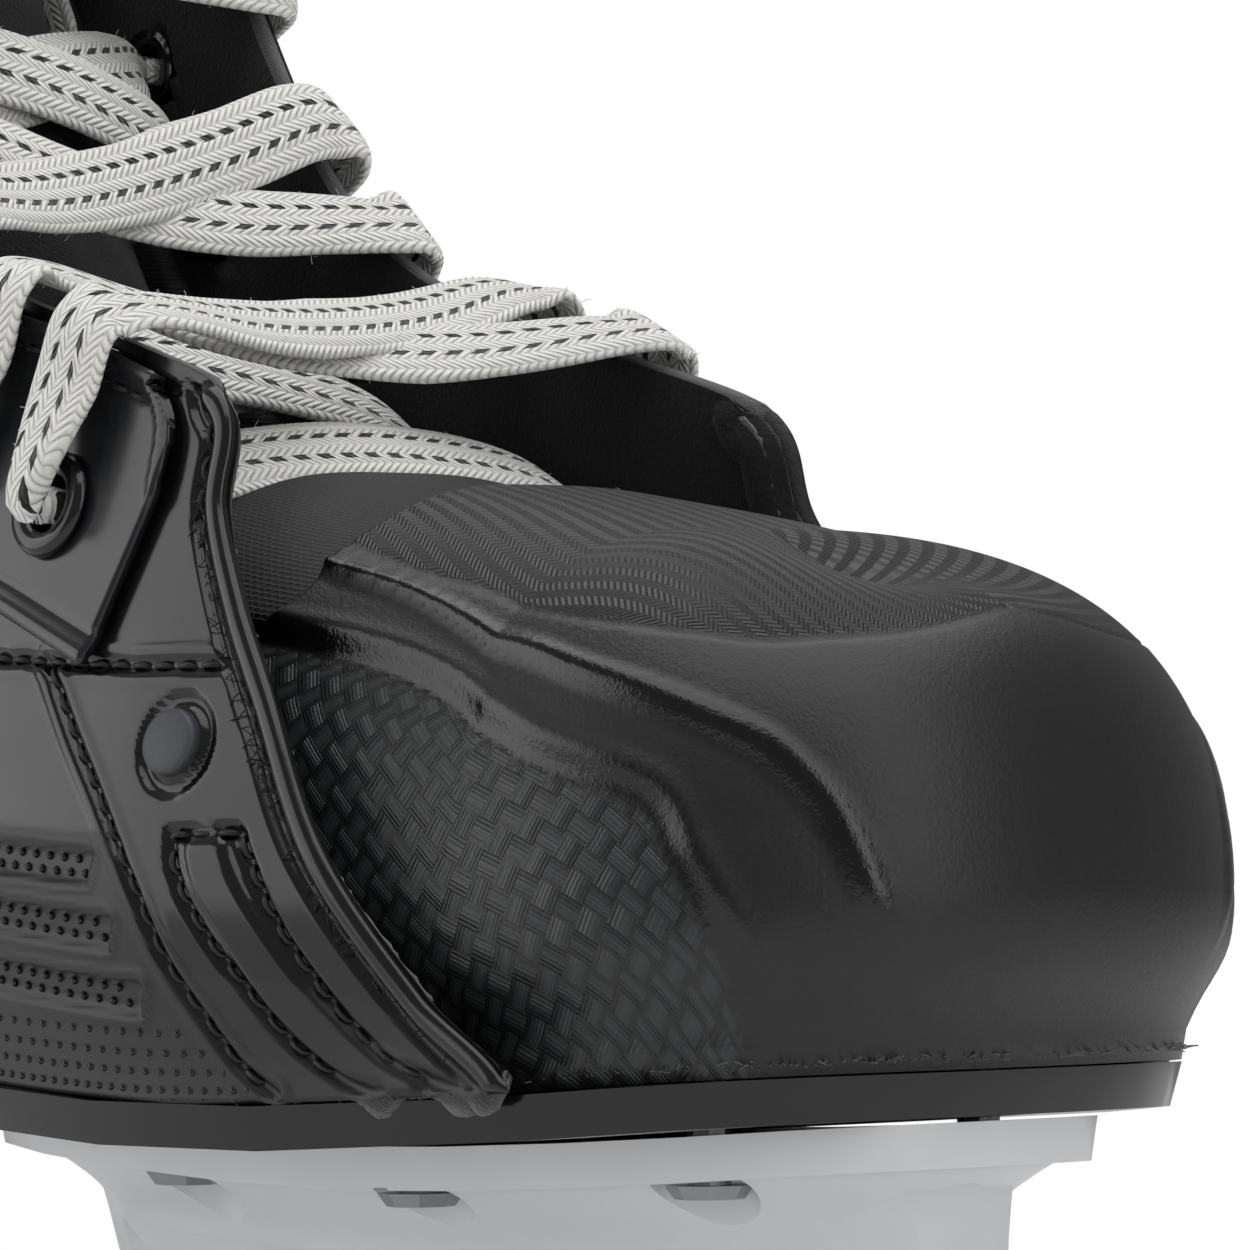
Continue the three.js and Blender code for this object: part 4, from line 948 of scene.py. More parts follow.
class Wardrobe:
    """The skate's finishes, each made into a material once."""

    def __init__(self) -> None:
        """Makes every material."""
        finishes: tuple[Finish, ...] = (
            # Fine-grained injected polyurethane: satin, with a soft leathery break-up.
            CapFinish("cap_moulded_polyurethane", "#161718", "#0b0c0d", 0.42, grain_depth_mm=0.05),
            # Thermoformed quarter skin: near black, glossy, slightly uneven under long reflections.
            ShellFinish("quarter_glossy_polyurethane", "#101112", "#08090a", 0.17,
                        rough_spread=0.03, grain_mm=0.5, grain_depth_mm=0.006,
                        wave_mm=16, wave_depth_mm=0.3),
            # Coated facing skin: dark grey and glossier than the quarter.
            Finish("facing_coated_synthetic", "#232427", "#1a1b1d", 0.2, rough_spread=0.03,
                   grain_mm=0.6, grain_depth_mm=0.006, wave_mm=14, wave_depth_mm=0.25),
            # Lacquered aluminium eyelets: black and shiny.
            Finish("eyelet_black_lacquer", "#0b0b0c", "#121213", 0.16, grain_depth_mm=0.004),
            # Pebbled rivet head: dull dark grey.
            Finish("disc_pebbled_steel", "#4e5054", "#38393d", 0.55, grain_mm=0.5,
                   grain_depth_mm=0.07, metallic=0.35),
            # Polished black outsole plate.
            Finish("outsole_glossy_composite", "#0f1012", "#08090a", 0.16, rough_spread=0.04,
                   grain_depth_mm=0.008, wave_mm=30, wave_depth_mm=0.12),
            # Glass-filled nylon holder: white, faintly mottled, satin.
            Finish("holder_white_nylon", "#dcdddf", "#cfd1d4", 0.34, grain_mm=0.9,
                   grain_depth_mm=0.012),
            # Ground stainless runner.
            Finish("runner_ground_stainless", "#c3c6ca", "#aeb2b7", 0.24, grain_mm=0.25,
                   grain_depth_mm=0.012, metallic=1.0),
            # Bright rivets and spring wire.
            Finish("rivet_plated_steel", "#a5a8ac", "#7f8286", 0.32, metallic=1.0),
            # Brushed nylon felt: deep black with a fibrous nap.
            Finish("felt_black_nylon", "#070708", "#0e0e0f", 0.95, grain_mm=0.45,
                   grain_depth_mm=0.25, sheen=0.12),
            # Grey felt at cut edges and in the tongue: lighter, fibrous.
            Finish("felt_grey_polyester", "#353639", "#222326", 0.95, grain_mm=0.45,
                   grain_depth_mm=0.25, sheen=0.3),
            # Torn edge of the lining's felt: mid grey and ragged.
            Finish("felt_torn_edge", "#66676a", "#434447", 0.95, grain_mm=0.5,
                   grain_depth_mm=0.3, sheen=0.3),
            # Bonded nylon sewing thread.
            Finish("thread_black_nylon", "#121214", "#08080a", 0.5, grain_mm=0.3,
                   grain_depth_mm=0.06),
            # Pale fibre that frays from cut layers.
            Finish("fibre_frayed_grey", "#77777a", "#3a3a3c", 0.8),
            # Cotton fluff that stands off the lace.
            Finish("cotton_fluff", "#e2e1dc", "#c9c8c3", 0.9),
            # White cotton braid; its second colour is the painted shade in the grooves between
            # yarns.
            BraidFinish("lace_cotton_braid", "#f6f5f1", "#8f8e8b", 0.88, sheen=0.25),
            # Black mesh cloth of the vamp.
            KnitFinish("vamp_black_mesh", "#303236", "#222326", 0.6, cell_mm=1.05),
            # Woven lining of the boot.
            KnitFinish("lining_grey_weave", "#45474b", "#2d2f32", 0.8, cell_mm=0.8,
                       open_cell_shade="#1b1c1e"),
            # Pressed fibre insole board: brown and dull.
            Finish("board_pressed_fibre", "#8d7b62", "#6f5f4a", 0.8, grain_mm=0.7,
                   grain_depth_mm=0.08),
            # Carbon-loaded plastic of the heel counter.
            Finish("counter_satin_composite", "#1c1d20", "#121316", 0.3, grain_depth_mm=0.01,
                   wave_mm=18, wave_depth_mm=0.15),
            # Foam footbed with a printed dull face.
            Finish("footbed_foam", "#3c3d41", "#2c2d30", 0.85, grain_mm=0.8, grain_depth_mm=0.12),
        )
        self.by_name = {finish.name: finish.material() for finish in finishes}

    def dress(self, piece: bpy.types.Object, *names: str) -> None:
        """Gives a piece its materials in order."""
        piece.data.materials.clear()
        for name in names:
            piece.data.materials.append(self.by_name[name])


def settle(piece: bpy.types.Object, body: str, slot: str, *replaced: str) -> bpy.types.Object:
    """Rides a piece on its body and hides the nodes it stands for."""
    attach(piece, body)
    if replaced:
        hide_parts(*replaced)
    LOG.info("%s rides on %s", piece.name, body)
    return piece


def settle_between(
    piece: bpy.types.Object, bodies: tuple[str, str], ends: Sequence[Sequence[float]], slot: str,
    *replaced: str,
) -> bpy.types.Object:
    """Fixes a piece's transform into its mesh and hides the nodes it stands for."""
    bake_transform(piece)
    if replaced:
        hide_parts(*replaced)
    LOG.info("%s bends between %s and %s", piece.name, *bodies)
    return piece


# ---------- toe cap ----------
@dataclass
class ToeCap:
    """The moulded cap and the felt inside it. Outlines are (station, rise) knots."""

    thickness: float = 2.4
    rear: float = 0.205 * BOOT.length - BOOT.toe_x
    fan_mm: float = 45.0  # run round the tip that one unit of station stands for
    panel_edge: tuple[tuple[float, float], ...] = (
        (-39.2, 0.70), (-26, 0.65), (-14.8, 0.61), (-3.2, 0.589), (0.18, 0.528), (0.43, 0.515),
        (0.58, 0.559), (0.71, 0.605), (0.85, 0.662), (1.0, 0.73),
    )
    stripe: tuple[tuple[float, float], ...] = (
        (-34, 0.625), (-27, 0.602), (-14.3, 0.569), (0, 0.498), (0.17, 0.431), (0.3, 0.388),
        (0.4, 0.355), (0.48, 0.324), (0.53, 0.288), (0.58, 0.241), (0.62, 0.184), (0.65, 0.13),
        (0.69, 0.077), (0.74, 0.033),
    )
    woven_edge: tuple[tuple[float, float], ...] = (
        (-39.2, 0.445), (-25, 0.438), (-17.5, 0.428), (-9.9, 0.408), (-2, 0.368), (0.1, 0.291),
        (0.21, 0.254), (0.3, 0.221), (0.35, 0.154), (0.43, 0.06), (0.5, 0.0),
    )
    woven_depth: float = 1.0
    step_depth: float = 0.7
    rear_cut: tuple[tuple[float, float], ...] = (
        (0.3, 0.0), (0.52, 11.0), (0.63, 12.2), (0.73, 12.8), (0.86, 11.4), (1.0, 9.0),
    )  # rise, and how far the rear edge stands forward there
    foot_tuck: float = 3.2

    def chart(self, station: Array) -> Array:
        """Turns stations into an even run in mm."""
        return np.where(station > 0, station * self.fan_mm, station)

    def outline(self, knots: Sequence[tuple[float, float]]) -> tuple[Array, Array]:
        """Gives an outline's run and rise, finely cut."""
        run = [(float(self.chart(np.array(s))), r * 100) for s, r in knots]
        fine = spline(run, 90)
        return fine[:, 0], fine[:, 1] / 100

    def on_cap(self, run: Array, rise: Array) -> Array:
        """Gives points of the outer side of the cap for an outline."""
        station = np.where(run > 0, run / self.fan_mm, run)
        return BOOT.toe(np.full(run.shape, -1.0), station, rise, BOOT.cap_setback)

    def place(self, station: Array, turn: Array) -> Bent:
        """Bends the cap's grid and carves its panels, the same on both sides."""
        side = np.where(turn < 0, -1.0, 1.0)
        rise = 1 - np.abs(turn)
        cut = smooth_curve(self.rear_cut)(rise)
        station = np.where(station < 0, station + cut * station / self.rear, station)
        points = BOOT.toe(side, station, rise, BOOT.cap_setback)
        mirrored = BOOT.toe(np.full(side.shape, -1.0), station, rise, BOOT.cap_setback)
        run = self.chart(station)
        marks: dict[str, Array] = {}
        height = np.zeros(run.shape)
        ahead = smoothstep(station, -5, 0.5)

        panel_run, panel_rise = self.outline(self.panel_edge)
        gap, _ = nearest(mirrored, self.on_cap(panel_run, panel_rise))
        inside = rise > np.interp(run, panel_run, panel_rise)
        signed = np.where(inside, gap, -gap)
        marks["panel"] = smoothstep(signed, 0.4, 1.1)
        height += groove(np.abs(signed), 0.9, 0.3) - 0.12 * smoothstep(signed, 0, 0.8)

        stripe_run, stripe_rise = self.outline(self.stripe)
        gap, share = nearest(mirrored, self.on_cap(stripe_run, stripe_rise))
        below = run < np.interp(rise, stripe_rise[::-1], stripe_run[::-1])
        signed = np.where(below, gap, -gap)
        fade = smoothstep(share, 0.0, 0.06) * (1 - smoothstep(share, 0.86, 1.0))
        half = lerp(0.8, 2.1, smoothstep(share, 0.1, 0.75)) * fade + 0.01
        marks["gloss"] = (1 - smoothstep(gap, 0.75 * half, 1.1 * half)) * fade
        height += 0.42 * np.sqrt(np.clip(1 - (gap / half) ** 2, 0, 1)) * fade
        ease = smoothstep(share, 0.0, 0.12) * (1 - smoothstep(share, 0.7, 1.0))
        height -= self.step_depth * smoothstep(signed, -0.2, 2.2) * ease * (
            1 - smoothstep(signed, 9, 22)
        )

        woven_run, woven_rise = self.outline(self.woven_edge)
        gap, _ = nearest(mirrored, self.on_cap(woven_run, woven_rise))
        inside = run < np.interp(rise, woven_rise[::-1], woven_run[::-1])
        signed = np.where(inside, gap, -gap)
        marks["woven"] = smoothstep(signed, 0.2, 0.8)
        # Painted shade: the bevel is the slope down into the recessed woven panel; it joins the
        # gloss mark, which makes it glossy and also darkens its colour.
        bevel = smoothstep(signed, -3.6, -2.9) * (1 - smoothstep(signed, -0.3, 0.2))
        marks["gloss"] = np.maximum(marks["gloss"], bevel * (rise > 0.03))
        height -= self.woven_depth * smoothstep(signed, -3.2, 0.2)
        height += 0.3 * np.exp(-(((signed + 3.5) / 1.0) ** 2))

        normal = surface_normals(points)
        out = np.sign(np.sum(normal * (points - np.array((100.0, 0, 85))), -1, keepdims=True))
        uv = np.stack([arc_lengths(mirrored, 0), arc_lengths(mirrored[:, ::-1], 1)[:, ::-1]], -1)
        edge = smoothstep(rise, 0.0, 0.02)
        tuck = self.foot_tuck * (1 - smoothstep(rise, 0, 0.1)) ** 2 * ahead
        away = points[..., :2] - np.array((60.0, float(BOOT.centre_at(np.array(110.0)))))
        away = away / np.linalg.norm(away, axis=-1, keepdims=True) * tuck[..., None]
        points = points + normal * out * (height * edge)[..., None]
        points[..., :2] -= away
        return Bent(points, uv, marks)

    def stations(self, rear: float, along: int, round_tip: int) -> Array:
        """Gives the stations from the rear edge to the tip."""
        fan = np.linspace(0, 1, round_tip + 1)[1:] ** 1.15
        return np.concatenate([np.linspace(rear, 0, along + 1), fan])

    def build(self, wardrobe: Wardrobe) -> None:
        """Makes the cap and its felt."""
        turns = np.linspace(-1, 1, 211)
        cap = bend_grid(
            "toe_cap_shell", self.stations(self.rear, 78, 92), turns, self.place, (100, 0, 85),
            self.thickness,
        )
        wardrobe.dress(
            cap, "cap_moulded_polyurethane", "felt_black_nylon", "quarter_glossy_polyurethane"
        )
        settle(cap, "boot", "toe_cap", "toe_cap")

        setback = BOOT.cap_setback + self.thickness + 0.7
        drop = self.thickness + 0.4

        def lining(station: Array, turn: Array) -> Bent:
            """Bends the felt that lines the cap."""
            side = np.where(turn < 0, -1.0, 1.0)
            rise = 1 - np.abs(turn) * 0.93
            points = BOOT.toe(side, station, rise, setback)
            points[..., 2] -= drop * np.sin(rise * math.pi / 2) ** (2 / 3)
            uv = np.stack([arc_lengths(points, 0), arc_lengths(points, 1)], -1)
            return Bent(points, uv)

        felt = bend_grid(
            "toe_felt", self.stations(self.rear + 15, 14, 24), np.linspace(-1, 1, 49), lining,
            (100, 0, 85), 1.6, 0.3,
        )
        wardrobe.dress(felt, *["felt_black_nylon"] * 3)
        settle(felt, "boot", "felt", "toe_box_liner")


# ---------- quarters ----------
@dataclass
class Quarters:
    """Both side shells with their rims, seams, strips, ribs and studs.

    Seams and strips are (run, height) knots in mm on the wall.
    """

    thickness: float = 2.6
    rim_width: float = 2.9
    rim_raise: float = 1.15
    rim_groove: float = 4.1
    stitch: float = 2.4
    stitch_pitch: float = 3.4
    thread: float = 0.34
    level_seam: float = 44.0
    slant: tuple[tuple[float, float], ...] = (
        (43.9, 43.8), (50, 37.2), (56.6, 30.2), (62.7, 22.1), (66.8, 14.3), (71.4, 8.1),
        (75.1, 3.7), (79.5, 0.8),
    )
    loop_left: tuple[tuple[float, float], ...] = (
        (67.9, 27.0), (68.7, 23.2), (72.2, 17.3), (76.7, 11.8), (82, 5.9), (88.6, 1.8), (93.5, 0.7),
    )
    loop_right: tuple[tuple[float, float], ...] = (
        (77.0, 27.0), (79.2, 22.8), (82.4, 16.9), (87.8, 9.6), (93.5, 4.4), (100.1, 1.5),
        (104, 0.7),
    )
    strip: tuple[tuple[float, float], ...] = (
        (72.7, 25.4), (74.3, 21.7), (78, 16.2), (82.6, 10.3), (89, 5), (96, 1.6),
    )
    ribs: tuple[tuple[float, float, float], ...] = (
        (55.8, 24.7, 23.5), (58.6, 19.3, 17.0), (62.2, 13.0, 10.4),
    )  # front end, height far back, height at the front end
    rib_start: float = 4.0
    eyelet_inset: float = 18.5

    def disc_place(self) -> tuple[float, float]:
        """Gives the disc's run and height."""
        return 0.229 * BOOT.length, 0.205 * BOOT.height

    def edge_line(self) -> Array:
        """Gives the front edge up to the corner, as run and height."""
        heights = np.linspace(0, 0.41 * BOOT.height, 90)
        return np.stack([BOOT.edge_run(heights), heights], -1)

    def relief(self, run: Array, height: Array) -> tuple[Array, Array]:
        """Gives how far the shell stands off its wall, and where it is matte."""
        spots = np.stack([run, height], -1)
        gap, _ = nearest(spots, self.edge_line())
        low = 1 - smoothstep(height, 0.405 * BOOT.height, 0.415 * BOOT.height)
        middle = (gap - self.rim_width / 2) / (self.rim_width / 2)
        raised = self.rim_raise * np.sqrt(np.clip(1 - middle**2, 0, 1)) * low
        raised = raised + groove(np.abs(gap - self.rim_groove), 1.7, 0.9) * low
        front = gap > self.rim_groove + 0.8

        level = self.level_seam
        seam = np.array([(-20.0, level + 1.5), (30, level), (74.0, level)])
        for line in (seam, spline(self.slant, 60)):
            gap_line, _ = nearest(spots, line)
            raised = raised + groove(gap_line, 1.5, 0.75) * front
            ledge = 0.22 * np.exp(-(((gap_line - 1.5) / 0.6) ** 2))
            raised = raised + ledge * front
        loop = np.vstack([spline(self.loop_left, 50)[::-1], spline(self.loop_right, 50)])
        gap_loop, _ = nearest(spots, loop)
        raised = raised + groove(gap_loop, 1.7, 0.85) * front
        gap_strip, _ = nearest(spots, spline(self.strip, 50))
        raised = raised + 0.5 * (1 - smoothstep(gap_strip, 2.0, 2.7)) * front

        slant = spline(self.slant, 60)
        behind = run < np.interp(height, slant[::-1, 1], slant[::-1, 0]) - 1.2
        matte = smoothstep(27.5 - height, 0, 0.6) * behind
        for end, back_height, front_height in self.ribs:
            share = (run - self.rib_start) / (end - self.rib_start)
            level = lerp(back_height, front_height, share)
            away = np.maximum(np.abs(height - level) - 1.35, 0)
            past = np.maximum(run - end - 0.35 * (height - level), 0)
            before = np.maximum(self.rib_start - run, 0)
            edge = np.hypot(away, past + before)
            raised = raised - 0.75 * (1 - smoothstep(edge, 0, 0.7))
            raised = raised + 0.3 * np.exp(-(((edge - 1.0) / 0.4) ** 2)) * behind
        boundary = smooth_curve(((40, 15.5), (60.3, 14), (82, 12.3), (97, 8.5), (108, 3)))(run)
        matte = np.maximum(matte, smoothstep(boundary - height, 0, 1.2) * (gap > 3.2))
        disc_run, disc_height = self.disc_place()
        ring = np.hypot(run - disc_run, height - disc_height)
        raised = raised + groove(np.abs(ring - 4.5), 1.6, 0.8)
        fade = smoothstep(height, 0.0, 0.4)
        return np.clip(raised, -1.0, 1.6) * fade, matte

    def place(self, side: int) -> Callable[[Array, Array], Bent]:
        """Gives the function that bends one quarter's grid."""

        def at(share: Array, level: Array) -> Bent:
            """Bends the quarter: share 0 to 1 along the side, on to 2 round the heel."""
            edge = BOOT.edge_run(level * BOOT.height)
            run = np.where(
                share <= 1,
                lerp(edge, BOOT.heel_x, np.minimum(share, 1)),
                lerp(BOOT.heel_x, BOOT.back, np.maximum(share - 1, 0)),
            )
            back_share = (run - BOOT.back) / (edge - BOOT.back)
            top = BOOT.collar(lerp(BOOT.back, BOOT.edge_run(np.array(BOOT.height)), back_share))
            height = level * top
            raised, matte = self.relief(run, height)
            points = BOOT.offset(side, run, height, raised)
            seam = BOOT.centre_at(points[..., 0]) + side * 0.15
            crossing = side * (points[..., 1] - seam) < 0
            points[..., 1] = np.where(crossing, seam, points[..., 1])
            return Bent(points, np.stack([run, height], -1), {"matte": matte})

        return at

    def stitches(self, side: int, line: Array, name: str, wardrobe: Wardrobe) -> None:
        """Sews a row of stitches along a line on the wall."""
        size = np.concatenate([[0], np.cumsum(np.linalg.norm(np.diff(line, axis=0), axis=1))])
        runs = []
        start = 0.6
        while start + self.stitch < size[-1]:
            along = start + self.stitch * np.array((0, 0.18, 0.5, 0.82, 1))
            run = np.interp(along, size, line[:, 0])
            height = np.interp(along, size, line[:, 1])
            dip = np.array((-1.0, -0.35, -0.2, -0.35, -1.0))
            if height.min() > 1.8:
                runs.append(BOOT.offset(side, run, height, dip))
            start += self.stitch_pitch
        row = tubes(name, runs, self.thread, 1, True)
        wardrobe.dress(row, "thread_black_nylon")
        settle(row, "boot", "quarter_shell")

    def studs(self, side: int, word: str, wardrobe: Wardrobe) -> None:
        """Sets small domes in the ribs and along the foot of the shell."""
        spots = []
        for end, back_height, front_height in self.ribs:
            for step in np.arange(self.rib_start + 2, end - 1.2, 2.5):
                share = (step - self.rib_start) / (end - self.rib_start)
                level = lerp(back_height, front_height, share)
                spots += [(step, level + 0.75, -0.72), (step + 1.25, level - 0.75, -0.72)]
        slant = spline(self.slant, 60)
        for row, height in enumerate((1.3, 3.1, 5.0, 7.0)):
            limit = np.interp(height, slant[::-1, 1], slant[::-1, 0]) - 2.5
            pitch = 2.0 + 0.25 * row
            for step in np.arange(0.0 + row % 2, limit, pitch):
                spots.append((step, height, -0.12))
        bm = bmesh.new()
        for run, height, dip in spots:
            centre = BOOT.offset(side, np.array(run), np.array(height), np.array(dip))
            bmesh.ops.create_icosphere(
                bm, subdivisions=1, radius=0.5 * MM, matrix=Matrix.Translation(to_model(centre))
            )
        mesh = bpy.data.meshes.new("studs_" + word)
        bm.to_mesh(mesh)
        bm.free()
        made = new_object("studs_" + word, mesh)
        shade_smooth(made)
        wardrobe.dress(made, "quarter_glossy_polyurethane")
        settle(made, "boot", "quarter_shell")

    def fray(self, side: int, word: str, wardrobe: Wardrobe) -> None:
        """Scatters short broken fibres in the groove behind the rim."""
        chance = random.Random(40 + side)
        line = self.edge_line()
        runs = []
        for _ in range(150):
            height = chance.uniform(1, 68)
            run = float(BOOT.edge_run(np.array(height))) - self.rim_groove
            run += chance.uniform(-1.0, 1.0)
            size, turn = chance.uniform(0.5, 1.7), chance.uniform(0, math.tau)
            bend = chance.uniform(-0.9, 0.9)
            steps = np.array((0, 0.5, 1))
            swing = turn + bend * steps
            out = -0.3 + steps * chance.uniform(0.2, 1.0)
            runs.append(
                BOOT.offset(side, run + size * steps * np.cos(swing),
                            height + size * steps * np.sin(swing), out)
            )
        hair = tubes("fray_" + word, runs, 0.075, 0)
        wardrobe.dress(hair, "thread_black_nylon")
        settle(hair, "boot", "quarter_shell")

    def lining(self, side: int, word: str, wardrobe: Wardrobe) -> None:
        """Lays the grey cut edge of the lining inside the front edge."""
        chance = np.random.default_rng(7 + side)
        ragged = chance.normal(0, 0.28, (131, 2))

        def at(share: Array, depth: Array) -> Bent:
            """Bends the ragged strip."""
            height = lerp(9.0, 0.407 * BOOT.height, share)
            index = np.round(share * 130).astype(int)
            torn = np.where(depth > 0.5, ragged[index, 0], ragged[index, 1] * 0.5)
            wide = 2.2 + 1.9 * depth + torn
            run = BOOT.edge_run(height) - wide
            points = BOOT.offset(side, run, height, np.full(run.shape, -self.thickness - 0.12))
            return Bent(points, np.stack([run, height], -1))

        strip = bend_grid(
            "lining_edge_" + word, np.linspace(0, 1, 131), np.linspace(0, 1, 5), at,
            (60, side * 200, 100), 0.35,
        )
        wardrobe.dress(strip, *["felt_torn_edge"] * 3)
        settle(strip, "boot", "felt")

    def holes(self, side: int) -> list[tuple[Array, float]]:
        """Gives the eyelet holes' centres and radii."""
        return [(spot, 4.2) for spot, _, _ in eyelet_places(side)]

    def build(self, wardrobe: Wardrobe) -> None:
        """Makes both quarters and what is sewn and set in them."""
        shares = np.concatenate(
            [np.linspace(0, 0.3, 112), np.linspace(0.3, 1, 50)[1:], np.linspace(1, 2, 26)[1:]]
        )
        levels = np.concatenate([np.linspace(0, 0.45, 132), np.linspace(0.45, 1, 44)[1:]])
        for side in Side:
            sign, word = side.value, side.word
            shell = bend_grid(
                "quarter_" + word + "_shell", shares, levels, self.place(sign), (0, 0, 130)
            )
            open_holes(shell, self.holes(sign))
            add_wall(shell, self.thickness)
            wardrobe.dress(
                shell, "quarter_glossy_polyurethane", "felt_black_nylon", "felt_grey_polyester"
            )
            settle(shell, "boot", "quarter_shell", "quarter_" + word)
            edge = self.edge_line()
            behind_rim = np.stack([edge[:, 0] - self.rim_groove, edge[:, 1]], -1)[3:-4]
            self.stitches(sign, behind_rim, "stitches_rim_" + word, wardrobe)
            level = self.level_seam
            seam = np.array([(-18.0, level + 1.4), (30, level), (70.0, level)])
            self.stitches(sign, seam, "stitches_level_" + word, wardrobe)
            self.stitches(sign, spline(self.slant, 80), "stitches_slant_" + word, wardrobe)
            loop = np.vstack([spline(self.loop_left, 60)[::-1], spline(self.loop_right, 60)])
            self.stitches(sign, loop, "stitches_loop_" + word, wardrobe)
            self.studs(sign, word, wardrobe)
            self.fray(sign, word, wardrobe)
            self.lining(sign, word, wardrobe)
            run, height = self.disc_place()
            centre = BOOT.wall(sign, np.array(run), np.array(height))
            profile = [(0, -2.6), (1.7, -2.6), (1.7, -0.6), (3.3, -0.6), (3.5, -0.4), (3.5, 0.75),
                       (3.3, 1.15), (2.9, 1.3), (0, 1.36)]
            outward = BOOT.outward(sign, np.array(run), np.array(height))
            disc = lathe("disc_" + word, profile, centre, outward, 40)
            wardrobe.dress(disc, "disc_pebbled_steel")
            settle(disc, "boot", "disc", "quarter_disc_" + word)


def open_holes(piece: bpy.types.Object, holes: Sequence[tuple[Array, float]]) -> None:
    """Takes the faces near each centre out of a surface."""
    bm = bmesh.new()
    bm.from_mesh(piece.data)
    centres = [(Vector(to_model(centre)), radius * MM) for centre, radius in holes]
    taken = [
        face
        for face in bm.faces
        if any((face.calc_center_median() - c).length < r for c, r in centres)
    ]
    bmesh.ops.delete(bm, geom=taken, context="FACES")
    bm.to_mesh(piece.data)
    bm.free()


def eyelet_places(side: int) -> list[tuple[Array, Array, float]]:
    """Gives each eyelet's centre, outward direction and place along the facing."""
    first, last, count, inset = 17.0, 8.0, 8, 18.5
    made = []
    for index in range(count):
        along = first + (BOOT.facing_length - first - last) / (count - 1) * index
        run, height = BOOT.facing_place(np.array(along), np.array(inset))
        made.append((BOOT.wall(side, run, height), BOOT.outward(side, run, height), along))
    return made


# ---------- facings and eyelets ----------
@dataclass
class Facings:
    """The glossy panels that carry the eyelets."""

    gap: float = 0.4
    thickness: float = 1.2
    width: float = 31.0
    rim_room: float = 8.6

    def place(self, side: int) -> Callable[[Array, Array], Bent]:
        """Gives the function that bends one facing's grid."""

        def at(share: Array, across: Array) -> Bent:
            """Bends the facing, with a raised bead along its free edges."""
            along = lerp(2.5, BOOT.facing_length - 1, share)
            depth = lerp(1.2, self.width, across)
            run, height = BOOT.facing_place(along, depth)
            limit = BOOT.edge_run(np.minimum(height, 0.41 * BOOT.height)) - self.rim_room
            over = run - limit
            run = np.minimum(run, limit)
            from_edge = np.minimum(depth - 1.2, self.width - depth)
            from_front = np.where(over > 0, 0.0, -over)
            near = np.minimum(from_edge, from_front)
            bead = 0.38 * np.exp(-(((near - 0.9) / 0.7) ** 2))
            line = groove(np.abs(from_edge - 3.2), 0.9, 0.4) * (from_front > 3)
            out = self.gap + self.thickness + bead + line
            return Bent(BOOT.offset(side, run, height, out), np.stack([along, depth], -1))

        return at

    def build(self, wardrobe: Wardrobe) -> None:
        """Makes the facings, their stitches and the eyelets."""
        for side in Side:
            sign, word = side.value, side.word
            panel = bend_grid(
                "facing_panel_" + word, np.linspace(0, 1, 210), np.linspace(0, 1, 64),
                self.place(sign), (0, 0, 130),
            )
            open_holes(panel, [(spot + out * 1.6, 4.0) for spot, out, _ in eyelet_places(sign)])
            add_wall(panel, self.thickness)
            wardrobe.dress(panel, *["facing_coated_synthetic"] * 3)
            settle(panel, "boot", "facing_panel", "facing_" + word)
            runs = []
            for start in np.arange(6.0, BOOT.facing_length - 6, 3.2):
                along = start + 2.2 * np.array((0, 0.2, 0.5, 0.8, 1))
                run, height = BOOT.facing_place(along, np.full(5, 4.4))
                dip = self.gap + self.thickness + np.array((-0.7, -0.1, 0.02, -0.1, -0.7))
                runs.append(BOOT.offset(sign, run, height, dip))
            row = tubes("stitches_facing_" + word, runs, 0.3, 1, True)
            wardrobe.dress(row, "thread_black_nylon")
            settle(row, "boot", "facing_panel")
            self.eyelets(sign, word, wardrobe)

    def eyelets(self, sign: int, word: str, wardrobe: Wardrobe) -> None:
        """Rolls the eyelets of one side."""
        front = self.gap + self.thickness + 0.3
        back = -2.9
        profile = [(2.8, back - 0.8), (5.0, back - 0.8), (3.5, back), (3.5, front), (5.7, front),
                   (5.72, front + 0.45), (5.35, front + 1.05), (4.6, front + 1.3),
                   (3.8, front + 1.22), (3.1, front + 0.8), (2.85, front + 0.1),
                   (2.8, front - 1.2), (2.8, back - 0.8)]
        for index, (centre, outward, _) in enumerate(eyelet_places(sign)):
            ring = lathe(f"eyelet_ring_{word}_{index + 1}", profile, centre, outward, 36)
            wardrobe.dress(ring, "eyelet_black_lacquer")
            settle(ring, "boot", "eyelet", f"eyelet_{word}_{index + 1}")


